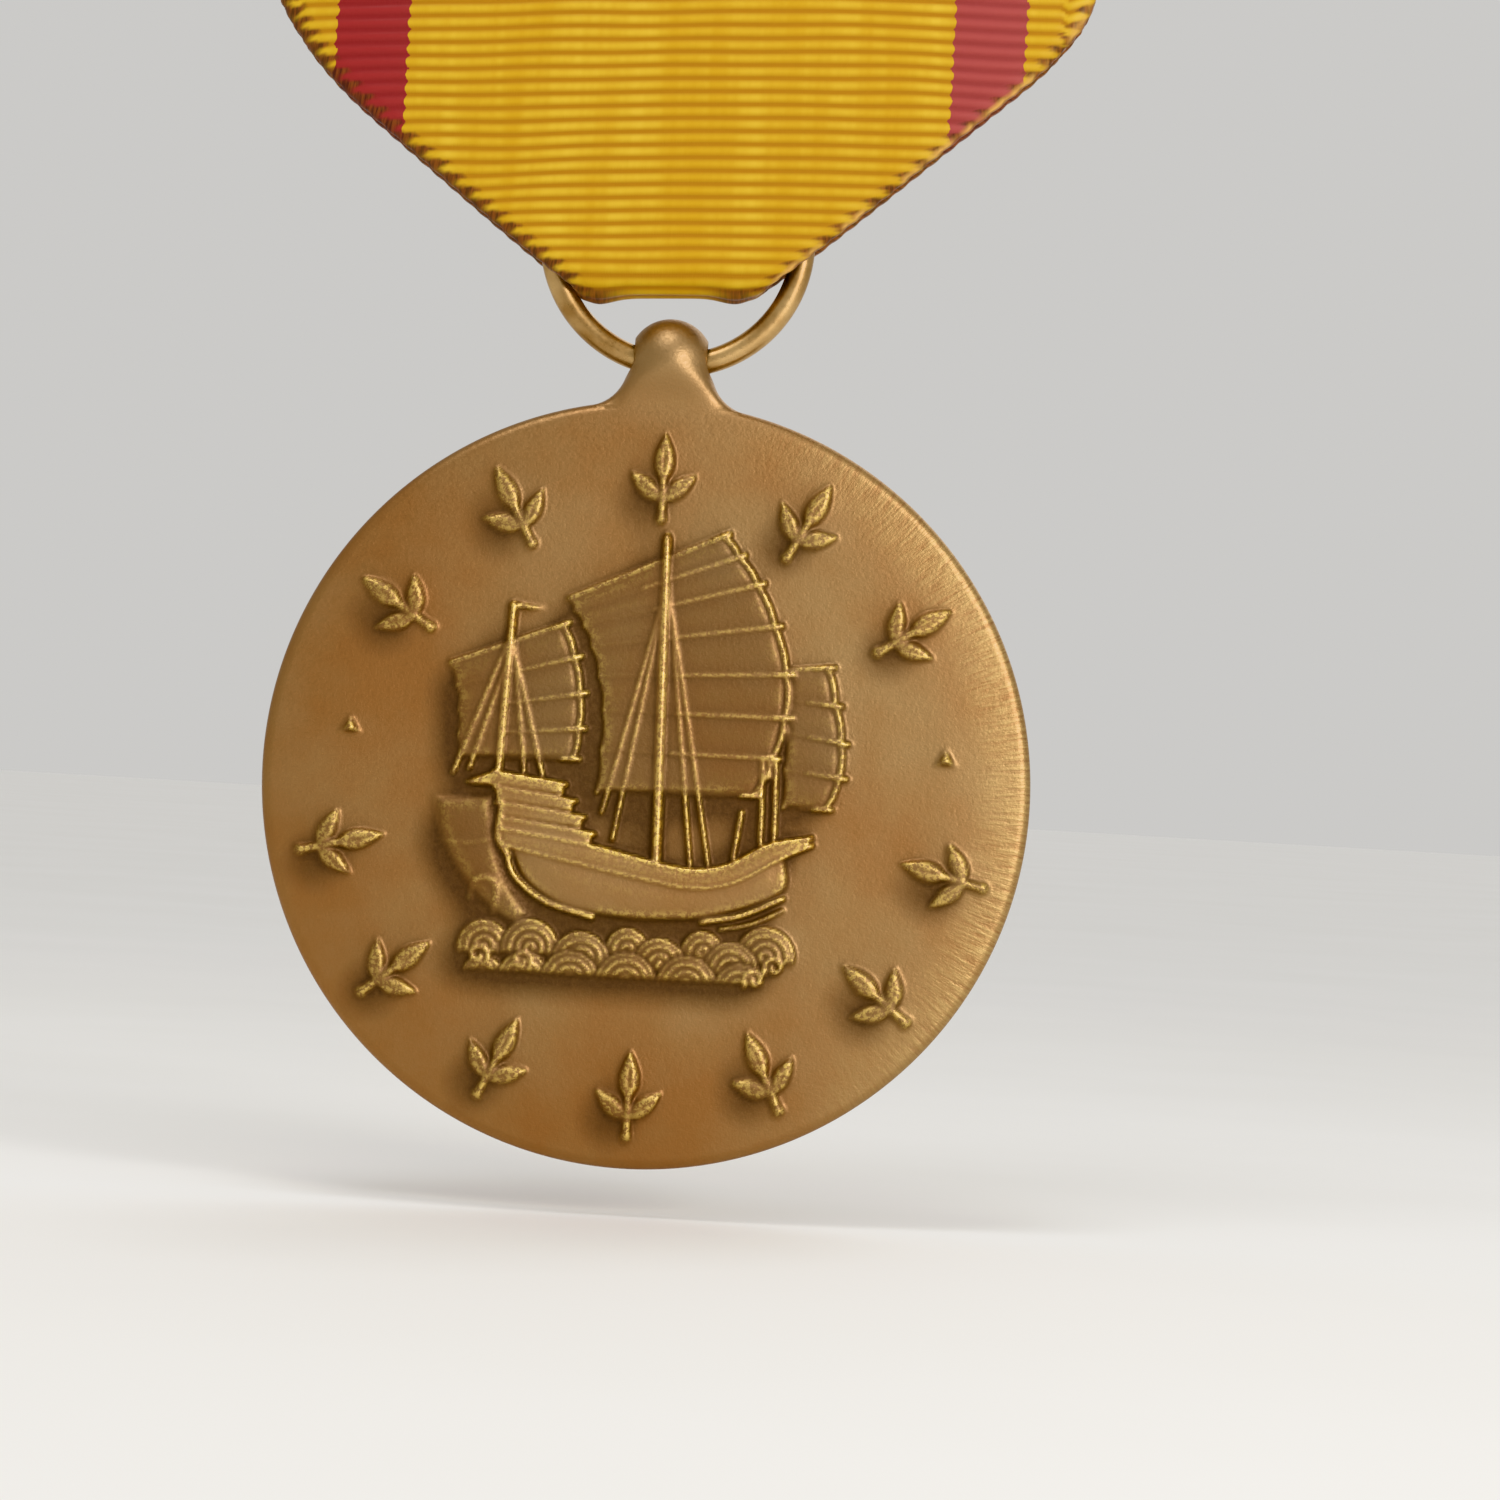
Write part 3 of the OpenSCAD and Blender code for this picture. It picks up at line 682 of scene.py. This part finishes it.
CLOTH_T = 0.38
RIB_PITCH = 0.55
RIB_H = 0.09
ROWS_PER_RIB = 5  # of the ribbon's mesh
RIBBON_HALF = (DRAPE_HI[0] - DRAPE_LO[0]) / 2
TOP_Z, POINT_Z = DRAPE_HI[2], DRAPE_LO[2]
POINT_HALF = 3.3  # half width of the cut-off point
DIAGONAL = math.radians(41)  # of the diagonal folds
SHOULDER_Z = POINT_Z + (RIBBON_HALF - POINT_HALF) * math.tan(DIAGONAL)
# how far above SHOULDER_Z each fold's corner lies, and how far from it the turn begins
LEFT_SHOULDER, RIGHT_SHOULDER = (0.36, 4.2), (0.14, 2.8)
CREASE_HALF = 0.5  # half width of the finely meshed fold
ROLL_R = CLOTH_T / 2 + 0.01  # radius that the cloth is folded round
LOW_HALF = (DRAPE_HI[1] - DRAPE_LO[1]) / 2  # half thickness at the ring
TOP_HALF = 1.03  # half thickness at the bar
TAPER_Z = TOP_Z - 9  # where the drape starts to thicken
CORNER_SAG = 0.22  # how low the point's two corners hang
POINT_LIFT = 0.2  # how far the cloth stays above POINT_Z
SEAM_Z = -5.2  # the ribbon's cut end, behind
TUCK_Z = -3.6  # its other end, tucked in under the bar
SELVAGE_W = 1.2
RED_FROM, RED_TO = RIBBON_HALF - 5.7, RIBBON_HALF - 2.7
ASKEW = 0.058  # how much the ribs rise to the right
ARCH = 0.0015  # how much they bow down at the sides
SWAY = -0.3  # how far the point hangs to the left
STRAIGHT_Z = -6  # above this the ribbon hangs straight


def drape_path():
    """The ribbon's middle line seen from the side, from its tucked end round the drape.

    Rows are y, z, outward y, outward z, and the length along the ribbon, which is 0 at
    the bottom fold, above 0 up the front and below 0 up the back.
    """
    low, top = LOW_HALF - CLOTH_T / 2 - RIB_H, TOP_HALF - CLOTH_T / 2 - RIB_H
    bottom = POINT_Z + RIB_H + CLOTH_T / 2
    step = 0.05
    front = []
    for a in np.arange(0, math.pi / 2, step / low):
        front.append([-low * math.sin(a), bottom + low * (1 - math.cos(a))])
    start_z = front[-1][1]
    for z in np.arange(start_z + step, TOP_Z - TOP_HALF, step):
        front.append([-side_half(z, low, top), z])
    centre = TOP_Z - TOP_HALF
    for a in np.arange(0, math.pi, step / top):
        front.append([-top * math.cos(a), centre + top * math.sin(a)])
    for z in np.arange(centre, SEAM_Z, -step):
        front.append([top, z])
    back = []
    for a in np.arange(step / low, math.pi / 2, step / low):
        back.append([low * math.sin(a), bottom + low * (1 - math.cos(a))])
    for z in np.arange(start_z + step, TUCK_Z, step):
        tuck = 0.42 * float(smooth_step((z - SEAM_Z + 1.3) / 1.1))
        back.append([side_half(z, low, top) - tuck, z])
    line = np.array(back[::-1] + front)
    lengths = np.concatenate([[0], np.cumsum(np.linalg.norm(np.diff(line, axis=0), axis=1))])
    along = np.gradient(line, axis=0)
    along /= np.linalg.norm(along, axis=1)[:, None]
    outward = np.stack([-along[:, 1], along[:, 0]], -1)
    return np.column_stack([line, outward, lengths - lengths[len(back)]])


def side_half(z, low, top):
    """Half the drape's thickness at a height, at the ribbon's middle line."""
    return float(np.interp(z, [SHOULDER_Z, TAPER_Z], [low, top]))


def rounded_ramp(x, reach):
    """0 well below 0, x well above it, with a round turn of the given reach between them."""
    turn = (x + reach) ** 2 / (4 * reach)
    return np.where(x > reach, x, np.where(x < -reach, 0, turn))


def ripple(x, y):
    """A smooth wandering value from -1 to 1, the same every run."""
    total = 0
    for k in range(1, 5):
        phase = 1.7 + k * 2.3
        total = total + np.sin(x * k * 0.9 + phase + 1.3 * np.sin(y * k * 0.7 + phase * 2)) / k
    return total / 2.08


def ribbon_columns():
    """Places across half the ribbon: panel, crease and corner flap, each from 0 to 1."""
    panel = 1 - (1 - np.linspace(0, 1, 23)[:-1]) ** 1.6
    crease = np.linspace(0, 1, 9)[:-1]
    flap = np.linspace(0, 1, 4)
    zone = np.concatenate([np.zeros(len(panel)), np.ones(len(crease)), np.full(len(flap), 2)])
    return zone, np.concatenate([panel, crease, flap])


def half_places(t, z, cords, lift, turn):
    """Places across half the ribbon, and how far out its fold or its edge lies."""
    below = rounded_ramp(SHOULDER_Z + lift - z, turn) / math.tan(DIAGONAL)
    width = RIBBON_HALF - np.minimum(below, RIBBON_HALF - POINT_HALF)
    width = width + 0.05 * (cords - 0.6) * np.clip(below, 0, 1)
    reach = np.minimum(RIBBON_HALF - width, 0.45 + 2.5 * np.abs(t))
    inner = np.maximum(width - CREASE_HALF, 0)
    outer = np.minimum(width + np.minimum(CREASE_HALF * 2, reach), RIBBON_HALF)
    starts = [np.zeros_like(inner), inner, outer]
    ends = [inner, outer, np.maximum(width + reach, outer)]
    zone, share = ribbon_columns()
    s = sum(np.where(zone == k, starts[k] + (ends[k] - starts[k]) * share, 0) for k in range(3))
    return s, np.broadcast_to(width, s.shape)


class Strip:
    """The ribbon's cloth as a grid: rows go along it and columns across it.

    t and s are the places along and across the flat strip. Folding its corners in takes
    them to t2 and x, and the drape takes those to surface, the cloth's middle layer.
    """

    def __init__(self):
        path = drape_path()
        self.length = path[-1, 4] - path[0, 4]
        self.lay_out(path)
        self.fold_corners()
        self.drape(path)
        self.weave()

    def lay_out(self, path):
        """The flat strip, and how far out each row's fold or edge lies."""
        rows = int(self.length / RIB_PITCH * ROWS_PER_RIB)
        t = np.linspace(path[0, 4], path[-1, 4], rows)[:, None]
        z = np.interp(t, path[:, 4], path[:, 1])
        cords = np.abs(np.cos(math.pi * (t + 0.07 * ripple(0 * t, t / 2.4)) / RIB_PITCH))
        left, left_width = half_places(t, z, cords, *LEFT_SHOULDER)
        right, right_width = half_places(t, z, cords, *RIGHT_SHOULDER)
        self.s = np.concatenate([-left[:, :0:-1], right], 1)
        self.width = np.concatenate([left_width[:, :0:-1], right_width], 1)
        self.t = np.broadcast_to(t, self.s.shape)
        self.side = np.sign(self.s) + (self.s == 0)

    def fold_corners(self):
        """Rolls the cloth beyond each diagonal fold through half a turn, to lie behind."""
        self.inward = (self.width - np.abs(self.s)) * math.sin(DIAGONAL)
        self.folded = np.clip((RIBBON_HALF - self.width) / 0.5, 0, 1)
        beyond = np.maximum(-self.inward, 0) * (self.width < RIBBON_HALF - 1e-3)
        self.angle = np.minimum(beyond / ROLL_R, math.pi)
        shift = ROLL_R * np.sin(self.angle) - np.maximum(beyond - math.pi * ROLL_R, 0)
        self.depth = ROLL_R * (1 - np.cos(self.angle))
        move = shift - beyond
        self.x = self.s + self.side * move * math.sin(DIAGONAL)
        self.t2 = self.t - np.where(self.t >= 0, 1, -1) * move * math.cos(DIAGONAL)

    def drape(self, path):
        """Hangs the folded strip round the ring and the bar, a little askew."""
        x, t2 = self.x, self.t2
        line_y, line_z, out_y, out_z = (np.interp(t2, path[:, 4], path[:, k]) for k in range(4))
        corner = (np.abs(x) - POINT_HALF + 0.5) / 0.8
        sag = CORNER_SAG * np.exp(-(corner**2) - t2**2)
        y = MID_Y + line_y - out_y * self.depth
        z = line_z - out_z * self.depth - sag + POINT_LIFT * np.exp(-((t2 / 3) ** 2))
        hang = smooth_step((STRAIGHT_Z - z) / 8)
        self.surface = np.stack([x + SWAY * hang, y, z + (ASKEW * x - ARCH * x * x) * hang], -1)
        sin_a, cos_a = np.sin(self.angle), np.cos(self.angle)
        normal = np.stack([self.side * sin_a * math.sin(DIAGONAL), cos_a * out_y,
                           cos_a * out_z - sin_a * math.cos(DIAGONAL)], -1)
        self.normal = normal / np.linalg.norm(normal, axis=-1, keepdims=True)

    def weave(self):
        """The ribs: their phase and crests, and how far out the cloth's face lies."""
        edge = RIBBON_HALF - np.abs(self.s)
        wave = 0.09 * ripple(self.s / 3.1, self.t / 2.4)
        wave = wave + 0.5 * RIB_PITCH * smooth_step((SELVAGE_W + 0.1 - edge) / 0.25)
        wave = wave - 0.35 * np.maximum(SELVAGE_W - edge, 0)
        self.along = self.t + wave
        self.cord = np.abs(np.cos(math.pi * self.along / RIB_PITCH)) ** 1.2
        groove = np.exp(-(((edge - SELVAGE_W) / 0.12) ** 2)) + np.exp(-((edge / 0.2) ** 2))
        pressed = self.folded * (1 - smooth_step((self.inward + 0.1) / 0.5))
        rise = RIB_H * (self.cord * (1 - 0.75 * pressed) - 0.4)
        self.outside = CLOTH_T / 2 + rise - 0.05 * groove

    def mesh(self, name):
        """The cloth as one closed mesh: its face, its lining and a strip round the edge."""
        face = self.surface + self.normal * self.outside[..., None]
        lining = self.surface - self.normal * (CLOTH_T / 2 - 0.02)
        rows, cols = self.s.shape
        count = rows * cols
        faces = grid_faces(rows, cols) + grid_faces(rows, cols, count, flip=True)
        ids = np.arange(count).reshape(rows, cols)
        loop = np.concatenate([ids[0, :-1], ids[:-1, -1], ids[-1, :0:-1], ids[:0:-1, 0]])
        after = np.roll(loop, -1)
        faces += np.stack([after, loop, loop + count, after + count], -1).tolist()
        return add_object(name, np.concatenate([face.reshape(-1, 3), lining.reshape(-1, 3)]), faces)

    def paint(self, obj):
        """Marks the weave's places, a painted shade along the diagonal folds, a darker patch at
        each of the point's two lower corners, and a pale line along the right-hand fold.
        """
        valley = 1 - self.cord
        shade = np.where(self.side < 0, -0.12 + 0.45 * valley, -0.22 + 0.35 * valley)
        lip = np.exp(-((np.abs(self.x) - 2.9) ** 2)) * smooth_step((1.05 - np.abs(self.t2)) / 0.3)
        # Painted shade where the cloth turns round each diagonal fold, wider on the left, away from
        # the light.
        fringe = self.folded * smooth_step((shade - self.inward) / 0.2 + 0.5)
        marks = {
            "across": self.s,
            "along": self.along,
            # painted shade along the folds, and the point's darker corners
            "worn": np.clip(fringe + lip, 0, 1),
            "pale": self.folded * (self.side > 0) * np.exp(-(((self.inward + 0.17) / 0.07) ** 2)),
        }
        for name, values in marks.items():
            add_attribute(obj, name, np.tile(values.ravel(), 2))


def make_ribbon():
    """The ribbon, and the length that its strip was cut to."""
    strip = Strip()
    obj = strip.mesh("ribbon_drape")
    strip.paint(obj)
    clean(obj, 2e-3)
    return obj, strip.length


# ---- materials

class Nodes:
    """A short way to write a material's node tree."""

    def __init__(self, name):
        self.material = bpy.data.materials.new(name)
        self.material.use_nodes = True
        self.tree = self.material.node_tree
        self.shader = self.tree.nodes["Principled BSDF"]

    def add(self, kind, inputs=(), **settings):
        """A node, its settings, and its inputs as {socket: value or output socket}."""
        node = self.tree.nodes.new(kind)
        for key, value in settings.items():
            setattr(node, key, value)
        for key, value in dict(inputs).items():
            self.link(node.inputs[key], value)
        return node

    def link(self, socket, value):
        if isinstance(value, bpy.types.NodeSocket):
            self.tree.links.new(value, socket)
        else:
            socket.default_value = value

    def math(self, operation, a, b=0.0):
        return self.add("ShaderNodeMath", {0: a, 1: b}, operation=operation).outputs[0]

    def mix(self, factor, a, b):
        return self.add("ShaderNodeMix", {0: factor, 6: a, 7: b}, data_type="RGBA").outputs[2]

    def ramp(self, value, low, high, to_low=0.0, to_high=1.0):
        node = self.add("ShaderNodeMapRange", {0: value, 1: low, 2: high, 3: to_low, 4: to_high})
        return node.outputs[0]

    def noise(self, scale, vector, detail, roughness=0.55):
        inputs = {"Scale": scale, "Detail": detail, "Roughness": roughness, "Vector": vector}
        return self.add("ShaderNodeTexNoise", inputs).outputs["Fac"]

    def attribute(self, name):
        return self.add("ShaderNodeAttribute", attribute_name=name).outputs["Fac"]

    def position(self):
        return self.add("ShaderNodeTexCoord").outputs["Object"]

    def bump(self, height, strength, distance_mm, normal=None):
        inputs = {"Height": height, "Strength": strength, "Distance": distance_mm * MM}
        if normal is not None:
            inputs["Normal"] = normal
        return self.add("ShaderNodeBump", inputs).outputs["Normal"]

    def finish(self, **sockets):
        for key, value in sockets.items():
            self.link(self.shader.inputs[key.replace("_", " ")], value)
        return self.material


def rgb(red, green, blue):
    """A colour given as sRGB from 0 to 255."""
    linear = [c / 255 / 12.92 if c <= 10 else ((c / 255 + 0.055) / 1.055) ** 2.4
              for c in (red, green, blue)]
    return (*linear, 1.0)


def bronze_material():
    """Sand-blasted antique bronze: warm field, dark patina in the hollows, bright edges from wear,
    and painted light: a highlight towards the right and on the rim there, glints on the crests and
    a shadow below and to the left of the relief.
    """
    m = Nodes("antique_bronze")
    place = m.position()
    cloud = m.noise(150, place, 4)
    grain = m.noise(8000, place, 2, 0.6)
    speck = m.noise(5200, place, 3, 0.7)
    raised, patina_and_shadow = m.attribute("raised"), m.attribute("patina_and_shadow")

    axes = m.add("ShaderNodeSeparateXYZ", {0: place})
    across = m.math("DIVIDE", axes.outputs[0], DISC_R * MM)
    upward = m.math("DIVIDE", m.math("SUBTRACT", axes.outputs[2], DISC_Z * MM), DISC_R * MM)
    angle = m.math("ARCTAN2", upward, across)
    reach = m.math("SQRT", m.math("ADD", m.math("MULTIPLY", across, across),
                                  m.math("MULTIPLY", upward, upward)))
    polar = m.add("ShaderNodeCombineXYZ", {0: m.math("MULTIPLY", angle, 110.0),
                                           1: m.math("MULTIPLY", reach, 14.0)}).outputs[0]
    streak = m.noise(1.0, polar, 3, 0.6)
    # The right-hand part of the rim, facing the light.
    turned_up = m.math("ABSOLUTE", m.math("SUBTRACT", angle, 0.15))
    rim = m.math("MULTIPLY", m.ramp(reach, 0.84, 0.97), m.ramp(turned_up, 1.25, 0.55))

    # Painted light: the field grows lighter towards the right, where the light comes from, on top
    # of a random cloudy tone.
    tone = m.math("ADD", m.math("MULTIPLY", across, 0.25), m.ramp(cloud, 0.3, 0.7))
    field = m.mix(m.ramp(tone, 0.0, 1.2), rgb(157, 115, 77), rgb(168, 139, 100))
    field = m.mix(m.ramp(upward, 0.9, 1.1), field, rgb(168, 138, 100))
    # Painted highlight: pale streaks along the grain on the right-hand rim, where the light falls.
    field = m.mix(m.math("MULTIPLY", rim, m.ramp(streak, 0.35, 0.65)), field,
                  rgb(192, 162, 112))
    # Dark patina in the hollows, and a painted shadow below and to the left of the relief.
    dark = m.math("MULTIPLY", patina_and_shadow, m.ramp(speck, 0.2, 0.6, 0.8, 1.0))
    patinated_and_shaded = m.mix(m.math("MULTIPLY", dark, 0.92), field, rgb(92, 71, 55))
    # Crests lightened by wear, with a painted highlight where they face the light.
    worn = m.mix(m.math("MULTIPLY", raised, 0.4), patinated_and_shaded, rgb(206, 172, 116))
    # Painted glints: bright gold specks on the crests, on top of the wear; they are also smoother.
    rub_and_glint = m.math("MULTIPLY", raised, m.ramp(speck, 0.46, 0.54))
    colour = m.mix(rub_and_glint, worn, rgb(255, 222, 130))
    rough = m.math("SUBTRACT", m.ramp(grain, 0.3, 0.7, 0.38, 0.52),
                   m.math("MULTIPLY", rub_and_glint, 0.16))
    rough = m.math("ADD", rough, m.math("MULTIPLY", dark, 0.15))
    fine = m.bump(grain, 0.4, 0.02)
    flow = m.bump(m.math("MULTIPLY", streak, rim), 0.6, 0.05, fine)
    normal = m.bump(speck, 0.4, 0.035, flow)
    return m.finish(Base_Color=colour, Metallic=1.0, Roughness=rough, Normal=normal)


def wire_material(name, low, high, rough):
    """Drawn metal with faint scratches."""
    m = Nodes(name)
    place = m.position()
    cloud = m.noise(600, place, 4)
    scratch = m.noise(7000, place, 2)
    colour = m.mix(m.ramp(cloud, 0.35, 0.65), low, high)
    roughness = m.ramp(scratch, 0.3, 0.7, rough - 0.07, rough + 0.07)
    normal = m.bump(scratch, 0.2, 0.01)
    return m.finish(Base_Color=colour, Metallic=1.0, Roughness=roughness, Normal=normal)


def ribbon_material():
    """Ribbed silk in yellow with two red stripes, with a faint watered sheen."""
    m = Nodes("ribbed_ribbon")
    across, along = m.attribute("across"), m.attribute("along")
    worn, pale = m.attribute("worn"), m.attribute("pale")
    phase = m.math("MULTIPLY", along, math.pi / RIB_PITCH)
    cord = m.math("ABSOLUTE", m.math("COSINE", phase))
    vector = m.add("ShaderNodeCombineXYZ", {0: across, 1: along}).outputs[0]

    def woven(x_scale, y_scale, detail):
        scaled = m.add("ShaderNodeMapping", {"Vector": vector, "Scale": (x_scale, y_scale, 1)})
        return m.noise(1.0, scaled.outputs[0], detail)

    streak, patch = woven(0.5, 0.04, 3), woven(1.1, 0.5, 2)
    thread, warp = woven(9.0, 1.2, 2), woven(16.0, 2.5, 1)

    from_middle = m.math("ABSOLUTE", across)
    toothed = m.math("ADD", m.ramp(cord, 0, 1, -0.07, 0.07), m.ramp(thread, 0, 1, -0.1, 0.1))
    enters = m.math("GREATER_THAN", m.math("SUBTRACT", from_middle, toothed), RED_FROM)
    leaves = m.math("LESS_THAN", m.math("ADD", from_middle, toothed), RED_TO)
    red = m.math("MULTIPLY", enters, leaves)

    sheen = m.math("MULTIPLY", m.ramp(streak, 0.4, 0.65), m.ramp(patch, 0.3, 0.6, 0.5, 1.0))
    gold = m.mix(sheen, rgb(195, 152, 37), rgb(212, 177, 60))
    crimson = m.mix(m.ramp(across, -14, 14), rgb(150, 52, 52), rgb(165, 78, 75))
    # Painted shade: the valleys between the ribs are darker copies of the gold and the red.
    valley = m.mix(red, rgb(170, 119, 26), m.mix(0.34, crimson, rgb(104, 24, 30)))
    colour = m.mix(m.ramp(cord, 0.3, 1.0), valley, m.mix(red, gold, crimson))
    # Painted shade along the diagonal folds, and the darker corners of the point.
    fringe = m.mix(m.ramp(thread, 0.4, 0.6), rgb(76, 40, 26), rgb(126, 70, 36))
    colour = m.mix(m.math("MULTIPLY", worn, 0.9), colour, fringe)
    colour = m.mix(m.math("MULTIPLY", pale, m.ramp(patch, 0.4, 0.6)), colour, rgb(214, 168, 92))
    normal = m.bump(warp, 0.4, 0.02)
    rough = m.ramp(streak, 0.3, 0.7, 0.6, 0.45)
    return m.finish(Base_Color=colour, Roughness=rough, Normal=normal, Sheen_Weight=0.15,
                    Sheen_Roughness=0.4, Specular_IOR_Level=0.3)


def thread_material():
    m = Nodes("sewing_thread")
    place = m.position()
    twist = m.noise(5000, place, 2)
    colour = m.mix(m.ramp(twist, 0.35, 0.65), rgb(170, 118, 22), rgb(226, 178, 60))
    return m.finish(Base_Color=colour, Roughness=0.7, Normal=m.bump(twist, 0.5, 0.03),
                    Sheen_Weight=0.3)


# ---- stage

def make_camera():
    """Nearly square on to the medal, rolled so that it leans a little to the right."""
    lean = math.radians(3.3)
    distance, view_width = 230, 61.8
    target = np.array([4.2, MID_Y - HALF_T, DISC_Z + 1.7])
    right = Vector((math.cos(lean), 0, math.sin(lean)))
    up = Vector((-math.sin(lean), 0, math.cos(lean)))
    back = right.cross(up)
    place = Vector(target * MM) + back * distance * MM
    data = bpy.data.cameras.new("camera")
    data.sensor_width = 36
    data.lens = 36 * distance / view_width
    data.clip_start = 0.005
    camera = bpy.data.objects.new("camera", data)
    camera.matrix_world = Matrix(((*right, 0), (*up, 0), (*back, 0), (*place, 1))).transposed()
    bpy.context.scene.collection.objects.link(camera)
    bpy.context.scene.camera = camera


def add_light(name, kind, energy, place_mm, towards, **settings):
    """A light that shines in a direction."""
    data = bpy.data.lights.new(name, kind)
    data.energy = energy
    for key, value in settings.items():
        setattr(data, key, value)
    light = bpy.data.objects.new(name, data)
    light.location = Vector(place_mm) * MM
    light.rotation_euler = Vector(towards).to_track_quat("-Z", "Y").to_euler()
    bpy.context.scene.collection.objects.link(light)


def make_lights():
    """Two soft boxes before the medal, a broad pale sun and an even sky."""
    lit = Vector((0, MID_Y, DISC_Z + 10))
    key, top = Vector((130, -190, 10)), Vector((-30, -90, 150))
    add_light("key", "AREA", 0.25, key, lit - key, size=60 * MM, color=(1, 0.97, 0.92))
    add_light("top", "AREA", 0.12, top, lit - top, size=90 * MM)
    add_light("rear", "SUN", 0.5, (0, 0, 0), (-0.35, -0.75, -0.6), angle=math.radians(50))
    world = bpy.data.worlds.new("world")
    world.use_nodes = True
    sky = world.node_tree.nodes["Background"]
    sky.inputs["Color"].default_value = (0.88, 0.87, 0.85, 1)
    sky.inputs["Strength"].default_value = 0.72
    bpy.context.scene.world = world
    bpy.context.scene.view_settings.view_transform = "Khronos PBR Neutral"


def make_floor():
    """A pale floor 2 mm below the medal, which hangs free."""
    half, rows = 1500, 24
    axis = np.linspace(-half, half, rows)
    x, y = np.meshgrid(axis, axis)
    points = np.stack([x, y, np.full_like(x, DISC_LO[2] - 2)], -1).reshape(-1, 3)
    floor = add_object("floor", points, grid_faces(rows, rows))
    m = Nodes("pale_floor")
    tone = m.noise(30, m.position(), 3)
    colour = m.mix(tone, rgb(238, 237, 234), rgb(245, 244, 242))
    floor.data.materials.append(m.finish(Base_Color=colour, Roughness=0.8))


# ---- object

def dress(obj, material):
    """Gives an object this material and no other."""
    obj.data.materials.clear()
    obj.data.materials.append(material)


def place_piece(obj, body, slot, material, *nodes):
    """A finished piece: it rides on a body and stands for CAD nodes."""
    dress(obj, material)
    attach(obj, body)
    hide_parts(*nodes)


def dress_nodes(material, *names):
    """Gives a finish to CAD nodes that stay."""
    for name in names:
        dress(frame["nodes"][name], material)


make_camera()
make_floor()
make_lights()

medal = make_medal()
place_piece(medal, "medal", "bronze", bronze_material(), "medal_disc")

ring_finish = wire_material("ring_bronze", rgb(162, 127, 83), rgb(199, 166, 117), 0.34)
place_piece(make_ring(), "ring", "ring_bronze", ring_finish, "suspension_ring")

drape, strip_length = make_ribbon()
place_piece(drape, "brooch", "ribbon_cloth", ribbon_material(), "ribbon")

brass = wire_material("brooch_brass", rgb(186, 150, 92), rgb(214, 182, 122), 0.33)
steel = wire_material("pin_steel", rgb(178, 176, 172), rgb(208, 206, 202), 0.22)
dress_nodes(brass, "brooch_bar", "brooch_back_plate", "pin_joint", "joint_rivet",
            "catch_housing", "catch_rotor")
dress_nodes(steel, "pin_stem")
dress_nodes(thread_material(), "drape_stitches", "seam_stitches")
